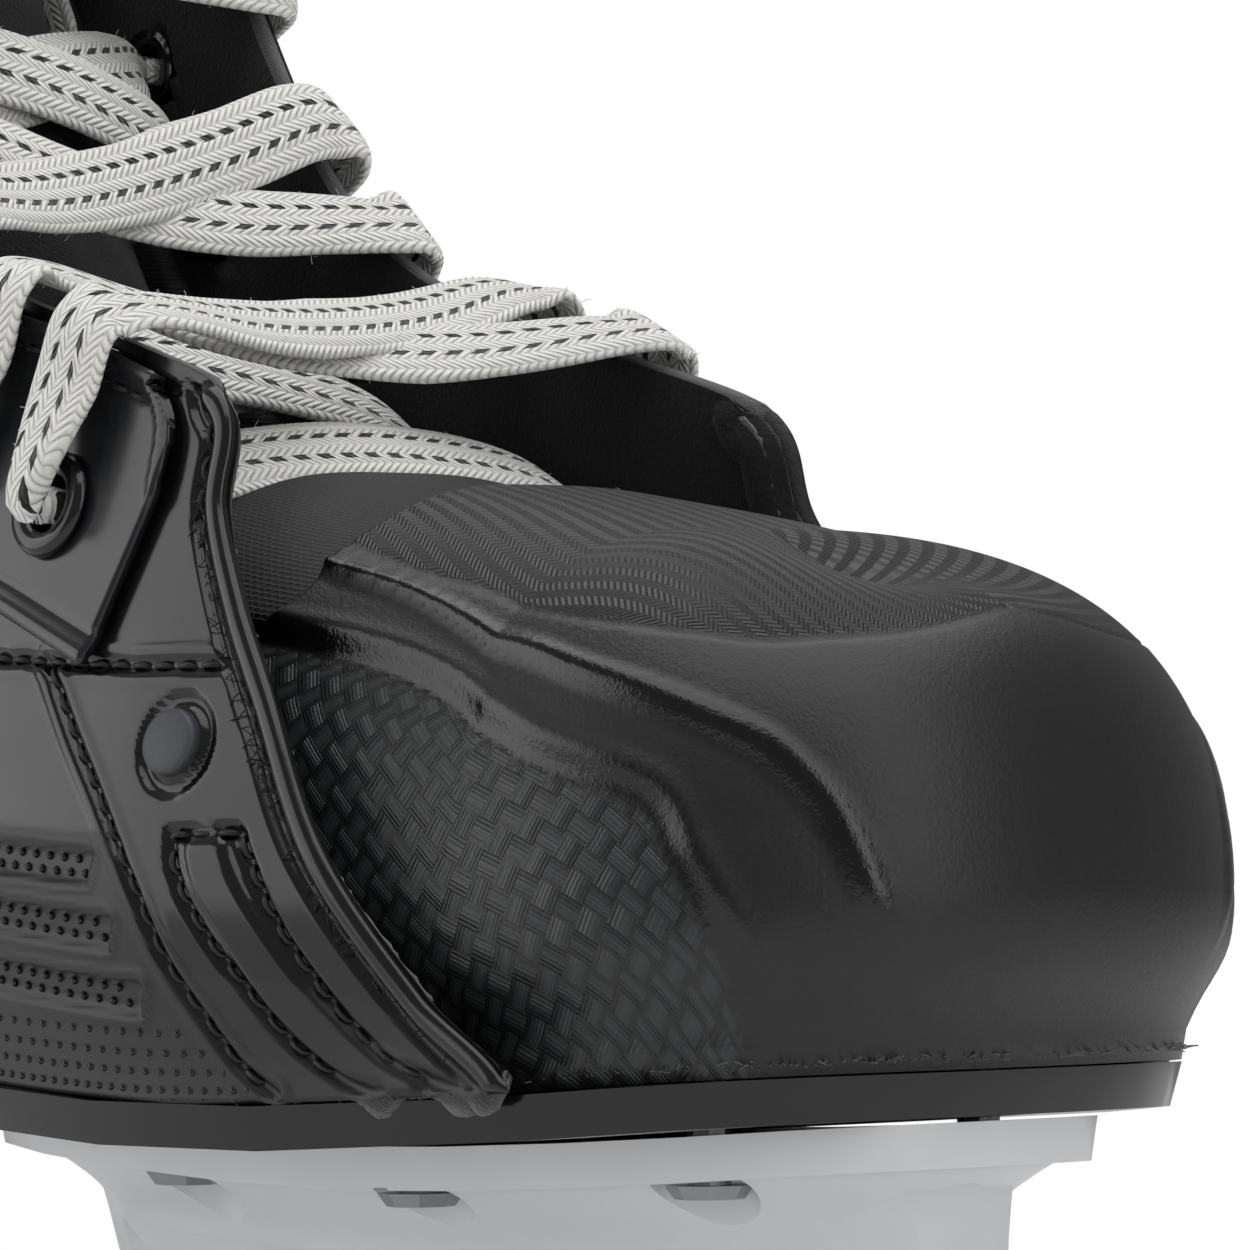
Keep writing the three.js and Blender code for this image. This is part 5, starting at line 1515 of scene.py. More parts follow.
# ---------- lace ----------
@dataclass
class Lace:
    """The flat lace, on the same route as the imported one."""

    width: float = 10.4
    thickness: float = 1.9
    bunched: float = 3.8
    edge_clearance: float = 3.6
    bar_depth: float = 11.5
    eyelet_inset: float = 18.5
    outside_turn: float = 0.4 + 1.2 + 0.3 + 1.3 + 1.9 + 0.5
    inside_turn: float = -(2.6 + 0.3 + 0.8 + 1.9 + 0.5)
    flange_top: float = 3.2
    tilt: float = 0.5  # how far the low crossings roll towards the toe

    def along_wall(self, side: int, along: float, depth: float, out: float) -> list[tuple]:
        """Gives one frame on the wall."""
        run, height = BOOT.facing_place(np.array(along), np.array(depth))
        return [(BOOT.offset(side, run, height, np.array(out)), BOOT.outward(side, run, height), 1)]

    def between(self, along: float, across: float, depth: float) -> tuple:
        """Gives one frame between the facings."""
        run, height = BOOT.facing_place(np.array(along), np.array(depth))
        ahead = np.array(BOOT.facing_place(np.array(along + 0.5), np.array(0.0)))
        behind = np.array(BOOT.facing_place(np.array(along - 0.5), np.array(0.0)))
        tangent = (ahead - behind) / np.linalg.norm(ahead - behind)
        y = BOOT.centre_at(run) + across * BOOT.half_width(run, height)
        spot = np.array((float(run), float(y), float(BOOT.sole_at(run) + height)))
        steep = smoothstep(np.array(along), 120, 40)
        rolled = self.tilt * steep * (1 - across**2) * np.array((1, 0, 0))
        face = np.array((tangent[1], 0, -tangent[0])) + rolled
        return spot, face / np.linalg.norm(face), 1

    def through(self, side: int, index: int, inwards: bool) -> list[tuple]:
        """Gives the frames through one eyelet."""
        centre, outward, _ = eyelet_places(side)[index]
        offsets = [self.inside_turn, -2, 2, self.outside_turn]
        if inwards:
            offsets.reverse()
        return [(centre + outward * offset, outward, 0) for offset in offsets]

    def inside(self, side: int, start: float, end: float, lift: float) -> list[tuple]:
        """Gives the frames of a crossing below the facings' edges."""
        made = []
        for across in (0.6, 0.3, 0, -0.3, -0.6):
            along = lerp(start, end, (1 - across) / 2)
            middle = 1 - across * across
            sunk = min(Tongue.depth(along) - 2.6, self.bar_depth)
            depth = lerp(self.eyelet_inset, sunk, middle)
            made.append(self.between(along, side * across, depth + lift * middle))
        return made

    def outside(self, side: int, start: float, end: float, lift: float) -> list[tuple]:
        """Gives the frames of a crossing over the facings' edges."""
        near, far = lerp(start, end, 0.08), lerp(start, end, 0.92)
        top = []
        for across in (0.9, 0.45, 0, -0.45, -0.9):
            along = lerp(start, end, (1 - across) / 2)
            middle = 1 - across * across
            depth = lerp(-self.edge_clearance, 1.2, middle)
            top.append(self.between(along, side * across, depth + lift * middle))
        return [
            *self.along_wall(side, near, 6.5, self.flange_top + 1.2),
            *self.along_wall(side, near, -1.4, 1.6 + 1.8),
            *top,
            *self.along_wall(-side, far, -1.4, 1.6 + 1.8),
            *self.along_wall(-side, far, 6.5, self.flange_top + 1.2),
        ]

    def half(self, first_side: int) -> list[tuple]:
        """Gives half the lace, from its first eyelet to its tucked tail."""
        side = first_side
        frames = self.through(side, 0, False)
        for index in range(1, 8):
            start = eyelet_places(side)[index - 1][2]
            end = eyelet_places(-side)[index][2]
            over = index % 2 == 1
            crossing = self.outside if over else self.inside
            frames += crossing(side, start, end, first_side * 1.15)
            side = -side
            frames += self.through(side, index, over)
        last = eyelet_places(side)[-1][2]
        for down, depth in ((2, 20), (10, 25), (24, 27), (40, 28), (56, 28)):
            frames += self.along_wall(side, last - down, depth, -9)
        return frames

    def frames(self) -> tuple[Array, Array, Array]:
        """Gives the whole route's places, broad faces' directions and flatness."""
        first = eyelet_places(-1)[0][2]
        bar = [
            self.between(first, -a, lerp(self.eyelet_inset, self.bar_depth, 1 - a * a))
            for a in (0.6, 0.2, -0.2, -0.6)
        ]
        route = [*self.half(-1)[::-1], *bar, *self.half(1)]
        places, faces, flats = (np.array(column, float) for column in zip(*route))
        return places, faces, flats

    def build(self, wardrobe: Wardrobe) -> None:
        """Weaves the lace and its fluff."""
        places, faces, flats = self.frames()
        count = 2100
        fine = spline(np.hstack([places, faces * 4, flats[:, None] * 4]), count)
        centre = fine[:, :3]
        forward = np.gradient(centre, axis=0)
        forward /= np.linalg.norm(forward, axis=1, keepdims=True)
        out = fine[:, 3:6]
        broad = np.cross(forward, out)
        broad /= np.linalg.norm(broad, axis=1, keepdims=True)
        thin = np.cross(broad, forward)
        flat = np.clip(fine[:, 6] / 4, 0, 1)
        half_broad = lerp(self.bunched, self.width, flat) / 2
        half_thin = lerp(self.bunched, self.thickness, flat) / 2
        gone = np.concatenate([[0], np.cumsum(np.linalg.norm(np.diff(centre, axis=0), axis=1))])
        chance = np.random.default_rng(3)
        marks = np.arange(0, gone[-1] + 9, 9)
        wobble = np.interp(gone, marks, chance.normal(0, 0.22, int(gone[-1] / 9) + 2))

        def at(station: Array, angle: Array) -> Bent:
            """Bends the lace's skin round its line."""
            i = np.round(station).astype(int)
            c, s = np.cos(angle), np.sin(angle)
            a = np.sign(c) * np.abs(c) ** 0.55 * (half_broad[i] + wobble[i] * np.sign(c))
            b = np.sign(s) * np.abs(s) ** 0.75 * half_thin[i]
            cup = 0.32 * flat[i] * (1 - (a / (self.width / 2)) ** 2)
            points = centre[i] + broad[i] * a[..., None] + thin[i] * (b + cup)[..., None]
            return Bent(points, np.stack([a, gone[i]], -1))

        lace = bend_grid(
            "lace_braid", np.arange(count, dtype=float), np.linspace(0, math.tau, 21), at,
            tuple(centre[count // 2]),
        )
        close_ends(lace)
        wardrobe.dress(lace, "lace_cotton_braid")
        settle(lace, "boot", "lace", "lace")
        LOG.info("lace is %.3f m long", gone[-1] * MM)
        self.fluff(centre, broad, thin, half_broad, half_thin, wardrobe)

    def fluff(
        self, centre: Array, broad: Array, thin: Array, half_broad: Array, half_thin: Array,
        wardrobe: Wardrobe,
    ) -> None:
        """Stands short cotton fibres off the lace's face and edges."""
        chance = random.Random(11)
        runs = []
        for _ in range(2600):
            i = chance.randrange(20, len(centre) - 20)
            across = chance.choice((-1, 1)) * chance.uniform(0.3, 1.0) ** 0.4
            side = 1 if chance.random() < 0.7 else -1
            root = centre[i] + broad[i] * across * half_broad[i] * 0.97
            root = root + thin[i] * side * half_thin[i] * (1 - abs(across)) ** 0.4
            lean = broad[i] * across * chance.uniform(0.2, 1.0)
            lean = lean + thin[i] * side * chance.uniform(0.2, 1)
            drift = np.array([chance.uniform(-0.8, 0.8) for _ in range(3)])
            size = chance.uniform(0.35, 1.15)
            halfway = root + lean * size * 0.5 + drift * 0.15
            runs.append(np.array([root, halfway, root + lean * size * 0.7 + drift * size * 0.6]))
        hair = tubes("lace_fluff", runs, 0.032, 0)
        wardrobe.dress(hair, "cotton_fluff")
        settle(hair, "boot", "lace")


def close_ends(piece: bpy.types.Object) -> None:
    """Fills the open ends of a tube."""
    bm = bmesh.new()
    bm.from_mesh(piece.data)
    open_edges = [edge for edge in bm.edges if edge.is_boundary]
    bmesh.ops.holes_fill(bm, edges=open_edges, sides=0)
    bmesh.ops.recalc_face_normals(bm, faces=bm.faces[:])
    bm.to_mesh(piece.data)
    bm.free()


# ---------- soft goods ----------
def pad_out(piece: bpy.types.Object, pressure: float, most: float) -> None:
    """Fills a closed piece with cloth pressure, then fixes the result.

    Args:
        piece: A closed mesh in its place.
        pressure: Pressure inside it.
        most: Furthest that a point may move, in mm.
    """
    remesh = piece.modifiers.new("voxels", "REMESH")
    remesh.mode = "VOXEL"
    remesh.voxel_size = 2.2 * MM
    apply_modifiers(piece)
    start = np.empty(len(piece.data.vertices) * 3)
    piece.data.vertices.foreach_get("co", start)
    cloth = piece.modifiers.new("filling", "CLOTH")
    cloth.settings.quality = 4
    cloth.settings.mass = 0.2
    cloth.settings.use_pressure = True
    cloth.settings.uniform_pressure_force = pressure
    cloth.settings.effector_weights.gravity = 0
    cloth.collision_settings.use_collision = False
    scene = bpy.context.scene
    for frame in range(1, 13):
        scene.frame_set(frame)
    apply_modifiers(piece)
    scene.frame_set(1)
    moved = np.empty(len(piece.data.vertices) * 3)
    piece.data.vertices.foreach_get("co", moved)
    shift = (moved - start).reshape(-1, 3)
    size = np.linalg.norm(shift, axis=1, keepdims=True)
    LOG.info("%s filled out by up to %.2f mm", piece.name, size.max() / MM)
    shift *= np.minimum(1, most * MM / np.maximum(size, 1e-9))
    piece.data.vertices.foreach_set("co", (start.reshape(-1, 3) + shift).ravel())
    piece.data.update()
    shade_smooth(piece)


def quilt(piece: bpy.types.Object, pitch: float, depth: float) -> None:
    """Presses sewn channels across a soft piece, a pitch apart in height."""
    bm = bmesh.new()
    bm.from_mesh(piece.data)
    bm.normal_update()
    for vertex in bm.verts:
        phase = vertex.co.z / (pitch * MM)
        gap = abs(phase - round(phase)) * pitch
        vertex.co -= vertex.normal * depth * MM * math.exp(-((gap / 1.3) ** 2))
    every_way = {"use_axis_x": True, "use_axis_y": True, "use_axis_z": True}
    bmesh.ops.smooth_vert(bm, verts=bm.verts[:], factor=0.3, **every_way)
    bm.to_mesh(piece.data)
    bm.free()
    shade_smooth(piece)


@dataclass
class Tongue:
    """The tongue's padded body, and its flap above the facing."""

    flap: float = 38.0
    thickness: float = 6.0

    @property
    def top(self) -> float:
        """Top end of the body, along the facing."""
        return BOOT.facing_length + 4

    @staticmethod
    def depth(along: Array) -> Array:
        """Gives how far the tongue lies below the facing's line."""
        return lerp(19.0, 9.5, smoothstep(np.asarray(along, float), 18, 80))

    def half(self, along: Array) -> Array:
        """Gives the tongue's half width."""
        run, height = BOOT.facing_place(along, np.full(np.shape(along), 22.0))
        length = BOOT.facing_length
        knots = ((0, 11), (0.5 * length, 10), (length, 14), (self.top + self.flap, 1))
        room = smooth_curve(knots)(along)
        return BOOT.half_width(np.minimum(run, 58), np.minimum(height, BOOT.height)) - room

    def point(self, along: Array, across: Array, inward: Array) -> Array:
        """Gives points through the tongue."""
        arch = lerp(11.0, 15.0, smoothstep(along, 10, 70))
        thin = 1 - 0.45 * np.abs(across) ** 3
        depth = self.depth(along) + arch * np.abs(across) ** 2.2 + inward * thin
        run, height = BOOT.facing_place(along, depth)
        y = BOOT.centre_at(run) + across * self.half(along)
        return np.stack([run, y, BOOT.sole_at(run) + height], -1)

    def skin(self, start: float, end: float, inset: float) -> Callable[[Array, Array], Bent]:
        """Gives the function that wraps a closed skin round part of the tongue."""

        def at(share: Array, turn: Array) -> Bent:
            """Bends the skin; turn runs once round the tongue's section."""
            c, s = np.cos(turn), np.sin(turn)
            across = np.sign(c) * np.abs(c) ** 0.5 * 0.985
            middle = self.thickness / 2
            inward = middle - np.sign(s) * np.abs(s) ** 0.7 * (middle - inset)
            along = lerp(start, end, share)
            points = self.point(along, across, inward)
            uv = np.stack([across * 30, along], -1)
            return Bent(points, uv)

        return at

    def build(self, wardrobe: Wardrobe) -> None:
        """Makes the tongue's body and its flap."""
        body = bend_grid(
            "tongue_pad", np.linspace(0, 1, 70), np.linspace(0, math.tau, 41),
            self.skin(-2, self.top, 0.5), (-20, 0, 150),
        )
        close_ends(body)
        pad_out(body, 2.0, 0.6)
        quilt(body, 17, 0.5)
        wardrobe.dress(body, "felt_black_nylon")
        settle(body, "boot", "felt", "tongue_body")

        flap = bend_grid(
            "tongue_flap_pad", np.linspace(0, 1, 22), np.linspace(0, math.tau, 41),
            self.skin(self.top + 0.3, self.top + self.flap, 0.3), (-60, 0, 260),
        )
        close_ends(flap)
        add_bevel(flap, 0.8)
        apply_modifiers(flap)
        shade_smooth(flap)
        wardrobe.dress(flap, "felt_grey_polyester")
        ends = [
            to_model(self.point(np.array(self.top + far), np.array(0.0), np.array(3.0)))
            for far in (0.3, 24.0)
        ]
        settle_between(flap, ("boot", "flap"), ends, "felt", "tongue_flap")


@dataclass
class Linings:
    """The vamp's mesh, the boot's lining and the collar's pad."""

    liner_out: float = -2.6 - 0.7 - 0.4
    liner: float = 2.6
    pad: float = 6.0

    def wrap(self, front: float, turn: Array) -> tuple[Array, Array]:
        """Gives side and run from one front round the heel to the other, for -1 to 1."""
        run = lerp(BOOT.back, front, np.abs(turn))
        return np.where(turn < 0, -1.0, 1.0), run

    def build(self, wardrobe: Wardrobe) -> None:
        """Makes the linings."""
        setback = BOOT.cap_setback + 2.4 + 0.1

        def vamp(station: Array, turn: Array) -> Bent:
            """Bends the mesh cloth of the vamp."""
            side = np.where(turn < 0, -1.0, 1.0)
            rise = 1 - np.abs(turn)
            points = BOOT.toe(side, station, rise, setback)
            points[..., 2] -= 2.4 * np.sin(rise * math.pi / 2) ** (2 / 3)
            return Bent(points, np.stack([station, arc_lengths(points, 1)], -1))

        mesh = bend_grid(
            "vamp_cloth", np.linspace(0.14, 0.252, 34) * BOOT.length - BOOT.toe_x,
            np.linspace(-0.5, 0.5, 61), vamp, (60, 0, 85), 1.4,
        )
        wardrobe.dress(mesh, *["vamp_black_mesh"] * 3)
        settle(mesh, "boot", "mesh", "vamp_mesh")

        liner_front = 0.162 * BOOT.length
        top = smooth_curve(
            [
                (BOOT.back, 0.82 * BOOT.height), (BOOT.heel_x, 0.83 * BOOT.height),
                (-0.2 * BOOT.length, 0.8 * BOOT.height), (-0.12 * BOOT.length, 0.6 * BOOT.height),
                (-0.02 * BOOT.length, 0.4 * BOOT.height), (liner_front, 0.26 * BOOT.height),
            ]
        )

        def lining(turn: Array, level: Array) -> Bent:
            """Bends the boot's lining."""
            side, run = self.wrap(liner_front, turn)
            height = lerp(0.3, top(run), level)
            points = both_sides(side, run, height, np.full(run.shape, self.liner_out - 0.05))
            return Bent(points, np.stack([arc_lengths(points, 0), height], -1))

        liner = bend_grid(
            "boot_lining", np.linspace(-1, 1, 121), np.linspace(0, 1, 40), lining, (-40, 0, 120),
            self.liner,
        )
        wardrobe.dress(liner, *["lining_grey_weave"] * 3)
        settle(liner, "boot", "felt", "boot_liner")

        pad_front = -0.25 * BOOT.length
        outer = self.liner_out - self.liner - 0.4

        def pad(turn: Array, round_: Array) -> Bent:
            """Wraps a closed skin round the collar's pad."""
            side, run = self.wrap(pad_front, turn)
            c, s = np.cos(round_), np.sin(round_)
            level = 0.5 + 0.5 * np.sign(s) * np.abs(s) ** 0.6
            height = lerp(0.56 * BOOT.height, BOOT.collar(run) + 1.5, level)
            depth = 0.5 + 0.5 * np.sign(c) * np.abs(c) ** 0.8
            out = outer - 0.3 - (self.pad - 1.2) * depth
            points = both_sides(side, run, height, out)
            return Bent(points, np.stack([run, height], -1))

        cushion = bend_grid(
            "collar_cushion", np.linspace(-1, 1, 81), np.linspace(0, math.tau, 33), pad,
            (-100, 0, 200),
        )
        close_ends(cushion)
        pad_out(cushion, 3.0, 1.0)
        quilt(cushion, 21, 0.9)
        wardrobe.dress(cushion, "felt_black_nylon")
        settle(cushion, "boot", "felt", "collar_pad")


def both_sides(side: Array, run: Array, height: Array, out: Array) -> Array:
    """Gives points off the wall where the side differs from point to point."""
    lateral = BOOT.offset(-1, run, height, out)
    medial = BOOT.offset(1, run, height, out)
    return np.where((side < 0)[..., None], lateral, medial)


# ---------- heel pieces ----------
@dataclass
class HeelPieces:
    """The heel counter outside the shell, and the tendon guard above it."""

    counter_front: float = -0.16 * BOOT.length

    def build(self, wardrobe: Wardrobe) -> None:
        """Makes the counter and the guard."""
        linings = Linings()
        top = smooth_curve(
            [(BOOT.back, 0.5 * BOOT.height), (BOOT.heel_x, 0.36 * BOOT.height),
             (self.counter_front, 0.2 * BOOT.height)]
        )

        def counter(turn: Array, level: Array) -> Bent:
            """Bends the counter, with a bead along its top and two scored lines."""
            side, run = linings.wrap(self.counter_front, turn)
            height = lerp(0.6, top(run), level)
            below = (1 - level) * top(run)
            out = 2.5 + 0.45 * np.exp(-(((below - 1.3) / 0.9) ** 2))
            out = out + groove(np.abs(below - 4.5), 1.3, 0.5) + groove(np.abs(below - 9), 1.3, 0.5)
            return Bent(both_sides(side, run, height, out), np.stack([run, height], -1))

        shell = bend_grid(
            "heel_counter_shell", np.linspace(-1, 1, 131), np.linspace(0, 1, 110), counter,
            (-90, 0, 110), 1.8,
        )
        wardrobe.dress(shell, *["counter_satin_composite"] * 3)
        settle(shell, "boot", "facing_panel", "heel_counter")

        reach = 0.6 * BOOT.heel_wrap

        def guard(turn: Array, level: Array) -> Bent:
            """Bends the tendon guard, ribbed across its back."""
            side = np.where(turn < 0, -1.0, 1.0)
            run = BOOT.back + reach * np.abs(turn)
            crest = lerp(1.17 * BOOT.height, 0.95 * BOOT.height, turn**2)
            height = lerp(0.68 * BOOT.height, crest, level)
            edge = np.minimum((1 - np.abs(turn)) * 34, (1 - level) * 60)
            bead = 0.35 * np.exp(-(((edge - 1.4) / 1.0) ** 2))
            rib = groove(np.abs((level * 9) % 1 - 0.5) * 6, 1.6, 0.5)
            rib = rib * (np.abs(turn) < 0.55) * (level > 0.3) * (level < 0.9)
            points = both_sides(side, run, height, 3.0 + bead + rib)
            return Bent(points, np.stack([run, height], -1))

        guard_shell = bend_grid(
            "tendon_guard_shell", np.linspace(-1, 1, 81), np.linspace(0, 1, 120), guard,
            (-100, 0, 200), 2.6, 0.4,
        )
        wardrobe.dress(
            guard_shell, "counter_satin_composite", "felt_black_nylon", "counter_satin_composite"
        )
        settle(guard_shell, "guard", "toe_cap", "tendon_guard")


# ---------- sole, holder and steel ----------
@dataclass
class Underside:
    """The outsole, holder, runner, release and rivets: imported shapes, finished."""

    toe_inset: float = 6.0
    spring_place: tuple[float, float, float] = (-58.75, -71.05, 36.5)  # front, rear, height
    flange_drop: float = 5.1
    flange: float = 4.5
    pocket: float = 5.6
    rivets: tuple[tuple[float, float, int], ...] = (
        (0.122, 20, 1), (0.252, 22.5, 1), (0.383, 19.5, 1),
        (-0.375, 18.5, -1), (-0.3, 20.5, -1), (-0.22, 20.5, -1),
    )  # place along the boot, half spacing, and which tower
    towers: tuple[tuple[float, float, float], ...] = (
        (-0.015, 0.465, 29), (-0.475, -0.16, 27),
    )  # rear and front ends of a flange, and its half width

    def outsole(self, wardrobe: Wardrobe) -> None:
        """Rounds the outsole's edge and lays the fibres that fray above it."""
        sole = node_copy("outsole_plate", "outsole")
        for vertex in sole.data.vertices:
            x = vertex.co.x / MM - MAKER_SHIFT[0]
            y = vertex.co.y / MM - MAKER_SHIFT[1]
            middle = Vector((80.0, float(BOOT.centre_at(np.array(x)))))
            away = Vector((x, y)) - middle
            pull = self.toe_inset * float(smoothstep(np.array(x), 62, 128))
            shift = away.normalized() * -pull * MM
            vertex.co.x += shift.x
            vertex.co.y += shift.y
        add_bevel(sole, 1.5, 3)
        shade_smooth(sole)
        wardrobe.dress(sole, "outsole_glossy_composite")
        settle(sole, "boot", "outsole", "outsole")

        chance = random.Random(5)
        runs = []
        for _ in range(760):
            side = chance.choice((-1, 1))
            if chance.random() < 0.5:
                run = chance.uniform(55, 104)
                spot = BOOT.wall(side, np.array(run), np.array(0.0))
                out = BOOT.outward(side, np.array(run), np.array(1.0))
                spot = spot - out * chance.uniform(0.2, 3.4)
            else:
                station = chance.uniform(0, 1)
                spot = BOOT.toe(np.array(float(side)), np.array(station), np.array(0.002), 3.6)
                out = spot - np.array((90.0, 0, spot[2]))
                out /= np.linalg.norm(out)
                spot = spot - out * chance.uniform(3.2, 4.4)
            spot = spot + np.array((0, 0, chance.uniform(-0.2, 0.3)))
            drift = np.array(
                [chance.uniform(-1, 1), chance.uniform(-1, 1), chance.uniform(-0.15, 0.5)]
            )
            size = chance.uniform(0.3, 1.5)
            runs.append(np.array([spot, spot + (0.45 * out + 0.5 * drift) * size * 0.5,
                                  spot + (0.5 * out + drift) * size]))
        hair = tubes("sole_fray", runs, 0.07, 0)
        wardrobe.dress(hair, "fibre_frayed_grey")
        settle(hair, "boot", "outsole")

    def carried(self, wardrobe: Wardrobe, frame: dict) -> None:
        """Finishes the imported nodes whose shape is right."""
        finishes = {
            "runner": "runner_ground_stainless", "release_trigger": "quarter_glossy_polyurethane",
            "insole_board": "board_pressed_fibre",
        }
        for name, node in frame["nodes"].items():
            if name.startswith("rivet_"):
                wardrobe.dress(node, "rivet_plated_steel")
            elif name in finishes:
                wardrobe.dress(node, finishes[name])

    def holder(self, wardrobe: Wardrobe) -> None:
        """Rounds the holder and sinks the rivet pockets in its flanges' edges."""
        holder = node_copy("holder_shell", "holder")
        fillets = [self.fillet(index, *tower) for index, tower in enumerate(self.towers)]
        pockets = self.pockets()
        steps = [(fillet, "UNION") for fillet in fillets] + [(pockets, "DIFFERENCE")]
        for tool, operation in steps:
            boolean = holder.modifiers.new("carve", "BOOLEAN")
            boolean.operation = operation
            boolean.solver = "EXACT"
            boolean.object = tool
            apply_modifiers(holder)
            bpy.data.objects.remove(tool)
        add_bevel(holder, 0.7, 3)
        shade_smooth(holder)
        wardrobe.dress(holder, "holder_white_nylon")
        settle(holder, "boot", "holder", "holder")

    def flange_bottom(self, x: Array) -> Array:
        """Gives the height of a flange's underside."""
        return BOOT.sole_at(x) - self.flange_drop - self.flange

    def fillet(self, index: int, rear: float, front: float, half: float) -> bpy.types.Object:
        """Makes the swell between a flange's edge and its tower."""
        back, nose = rear * BOOT.length, front * BOOT.length
        middle = float(BOOT.centre_at(np.array((back + nose) / 2))) / 2

        def at(level: Array, turn: Array) -> Bent:
            """Bends the swell's skin; level runs from the flange down to the tower."""
            inward = 1 - (1 - level) ** 1.7
            c, s = np.cos(turn), np.sin(turn)
            reach = np.sign(c) * np.abs(c) ** 0.62
            wide = np.sign(s) * np.abs(s) ** 0.62
            x = (back + nose) / 2 + reach * ((nose - back) / 2 - lerp(1.4, 10.5, inward))
            y = middle + wide * lerp(half - 1.3, 0.52 * half - 1.5, inward)
            z = self.flange_bottom(x) + 1.5 - 9.5 * level
            return Bent(np.stack([x, y, z], -1), np.stack([x, y], -1))

        made = bend_grid(
            f"swell_{index}", np.linspace(0, 1, 9), np.linspace(0, math.tau, 97), at,
            ((back + nose) / 2, 0, 64),
        )
        close_ends(made)
        return made

    def pockets(self) -> bpy.types.Object:
        """Makes the round tools that open a pocket below each rivet's head."""
        bm = bmesh.new()
        for place, half, tower in self.rivets:
            x = place * BOOT.length
            rear, front, _ = self.towers[0 if tower > 0 else 1]
            middle = float(BOOT.centre_at(np.array((rear + front) / 2 * BOOT.length))) / 2
            for side in (-1, 1):
                top = float(self.flange_bottom(np.array(x))) + 0.4
                centre = (x, middle + side * half, top - 8)
                bmesh.ops.create_cone(
                    bm, cap_ends=True, segments=40, radius1=self.pocket * MM,
                    radius2=self.pocket * MM, depth=16 * MM,
                    matrix=Matrix.Translation(to_model(centre)),
                )
        mesh = bpy.data.meshes.new("pocket_tools")
        bm.to_mesh(mesh)
        bm.free()
        return new_object("pocket_tools", mesh)

    def footbed(self, wardrobe: Wardrobe) -> None:
        """Softens the footbed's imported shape."""
        bed = node_copy("footbed_foam_bed", "footbed")
        add_bevel(bed, 1.2, 3)
        shade_smooth(bed)
        wardrobe.dress(bed, "footbed_foam")
        settle(bed, "boot", "felt", "footbed")

    def spring(self, wardrobe: Wardrobe) -> None:
        """Winds the release's spring at one fixed length, though the real one shortens as the
        release is pulled.
        """
        front, rear, height = self.spring_place
        turn = np.linspace(0, 5 * math.tau, 121)
        x = np.linspace(rear, front, 121)
        coil = np.stack([x, 3 * np.cos(turn), height + 3 * np.sin(turn)], -1)
        wire = tubes("release_spring_coil", [coil], 0.42, 4, True)
        wardrobe.dress(wire, "rivet_plated_steel")
        ends = [to_model((front, 0, height)), to_model((rear, 0, height))]
        settle_between(wire, ("boot", "trigger"), ends, "spring", "trigger_spring")

    def build(self, wardrobe: Wardrobe, frame: dict) -> None:
        """Makes everything below the boot."""
        self.spring(wardrobe)
        self.outsole(wardrobe)
        self.holder(wardrobe)
        self.footbed(wardrobe)
        self.carried(wardrobe, frame)


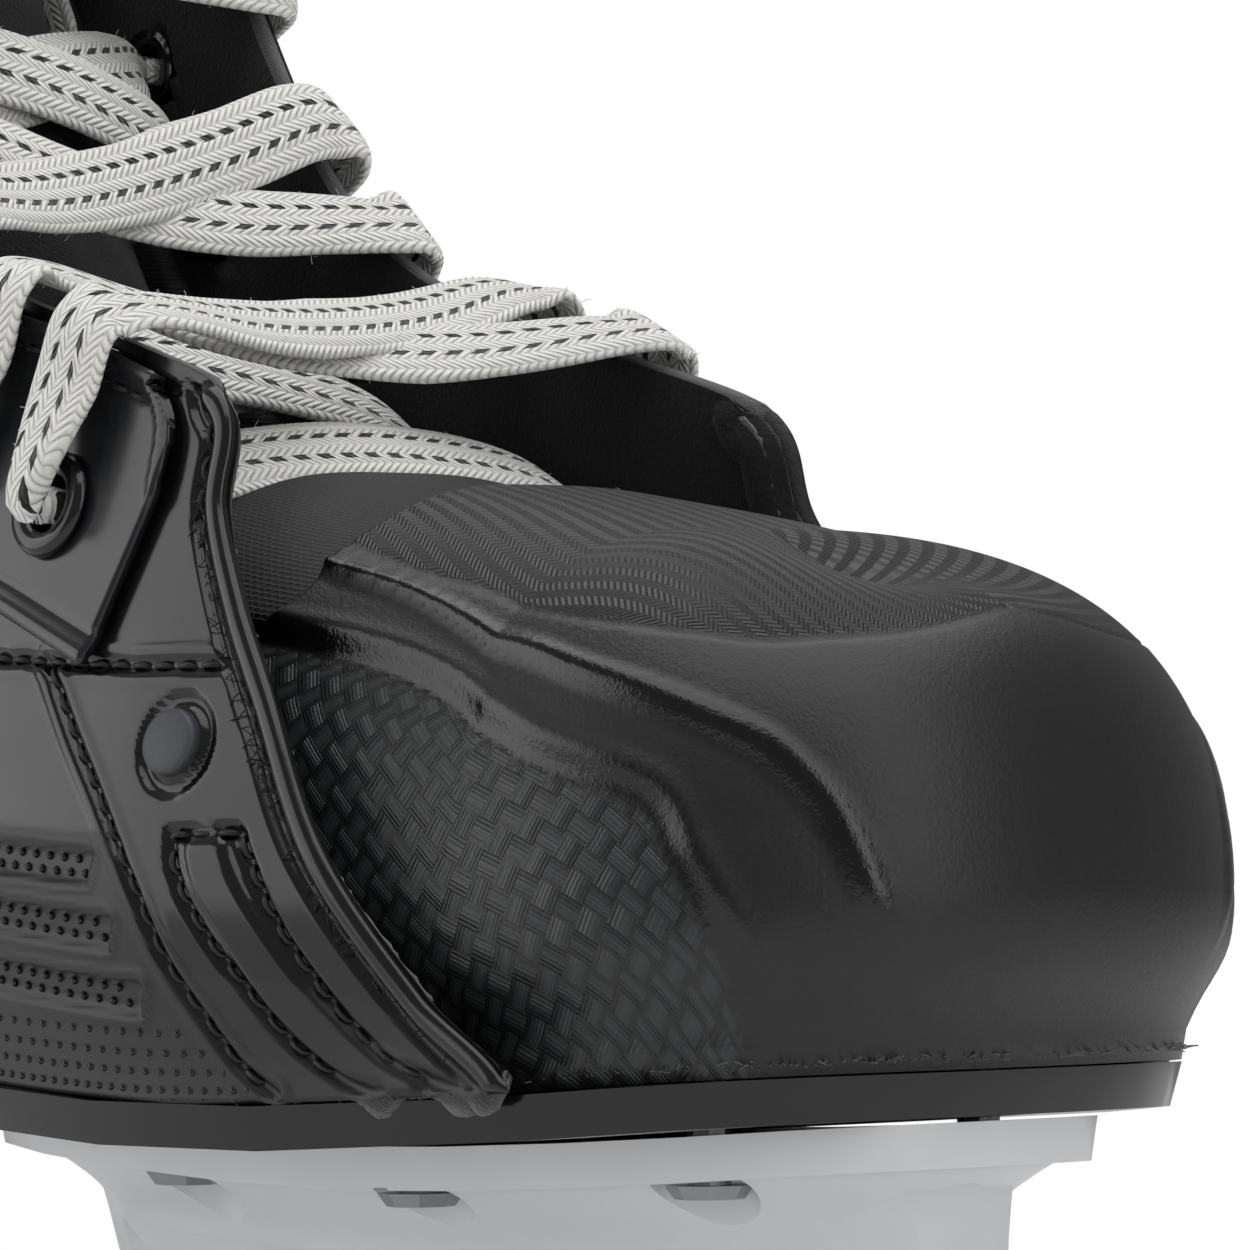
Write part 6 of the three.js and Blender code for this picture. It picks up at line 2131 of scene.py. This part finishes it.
# ---------- studio ----------
@dataclass
class Studio:
    """Camera, floor and lights."""

    azimuth: float = 45.5
    elevation: float = -1.3
    roll: float = -0.7
    distance: float = 859.0
    focal: float = 240.5
    aim: tuple[float, float, float] = (83.35, -1.8, 116.7)

    def camera(self) -> None:
        """Aims a long lens at the toe."""
        turn, tip = math.radians(self.azimuth), math.radians(self.elevation)
        flat = math.cos(tip)
        look = Vector((-math.sin(turn) * flat, math.cos(turn) * flat, -math.sin(tip)))
        data = bpy.data.cameras.new("camera")
        data.lens = self.focal
        data.sensor_width = 36.0
        data.clip_start, data.clip_end = 0.05, 20.0
        made = bpy.data.objects.new("camera", data)
        bpy.context.scene.collection.objects.link(made)
        made.location = Vector(to_model(self.aim)) - look * self.distance * MM
        level = look.to_track_quat("-Z", "Y").to_matrix().to_4x4()
        spin = Matrix.Rotation(math.radians(self.roll), 4, "Z")
        made.matrix_world = Matrix.Translation(made.location) @ level @ spin
        bpy.context.scene.camera = made

    def floor(self) -> None:
        """Lays a plain pale floor."""
        bm = bmesh.new()
        bmesh.ops.create_circle(bm, cap_ends=True, segments=64, radius=0.9)
        mesh = bpy.data.meshes.new("floor")
        bm.to_mesh(mesh)
        bm.free()
        floor = new_object("floor", mesh)
        made = bpy.data.materials.new("floor_pale_paint")
        made.use_nodes = True
        shader = made.node_tree.nodes["Principled BSDF"]
        shader.inputs["Base Color"].default_value = linear("#f2f2f2")
        shader.inputs["Roughness"].default_value = 0.9
        mesh.materials.append(made)

    def light(
        self, name: str, spot: Sequence[float], size: tuple[float, float], power: float
    ) -> None:
        """Hangs one softbox that faces the skate."""
        data = bpy.data.lights.new(name, "AREA")
        data.shape = "RECTANGLE"
        data.size, data.size_y = size
        data.energy = power
        made = bpy.data.objects.new(name, data)
        bpy.context.scene.collection.objects.link(made)
        made.location = spot
        away = Vector(to_model((60, 0, 110))) - Vector(spot)
        made.rotation_mode = "QUATERNION"
        made.rotation_quaternion = away.to_track_quat("-Z", "Y")

    def build(self) -> None:
        """Sets up the studio."""
        self.camera()
        self.floor()
        self.light("softbox_above", (0.1, 0.05, 1.1), (1.5, 1.1), 9.5)
        self.light("softbox_left", (-0.95, -1.0, 0.45), (1.5, 1.1), 8.0)
        self.light("softbox_right", (1.0, -0.05, 0.5), (0.4, 0.9), 2.2)
        world = bpy.data.worlds.new("studio")
        world.use_nodes = True
        tree = world.node_tree
        sky = tree.nodes["Background"]
        sky.inputs["Color"].default_value = (1, 1, 1, 1)
        sky.inputs["Strength"].default_value = 0.26
        seen = add_node(tree, "ShaderNodeBackground", {"Color": (1, 1, 1, 1), "Strength": 1.0})
        path = add_node(tree, "ShaderNodeLightPath").outputs["Is Camera Ray"]
        mixed = add_node(
            tree, "ShaderNodeMixShader", links={0: path, 1: sky.outputs[0], 2: seen.outputs[0]}
        )
        tree.links.new(mixed.outputs[0], tree.nodes["World Output"].inputs[0])
        bpy.context.scene.world = world
        bpy.context.scene.view_settings.view_transform = "Standard"


def main() -> None:
    """Builds the studio and then every sub-assembly."""
    logging.basicConfig(level=logging.INFO, format="%(name)s: %(message)s")
    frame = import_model()
    Studio().build()
    wardrobe = Wardrobe()
    Lace().build(wardrobe)
    ToeCap().build(wardrobe)
    Quarters().build(wardrobe)
    Facings().build(wardrobe)
    Tongue().build(wardrobe)
    Linings().build(wardrobe)
    HeelPieces().build(wardrobe)
    Underside().build(wardrobe, frame)


if __name__ == "__main__":
    main()
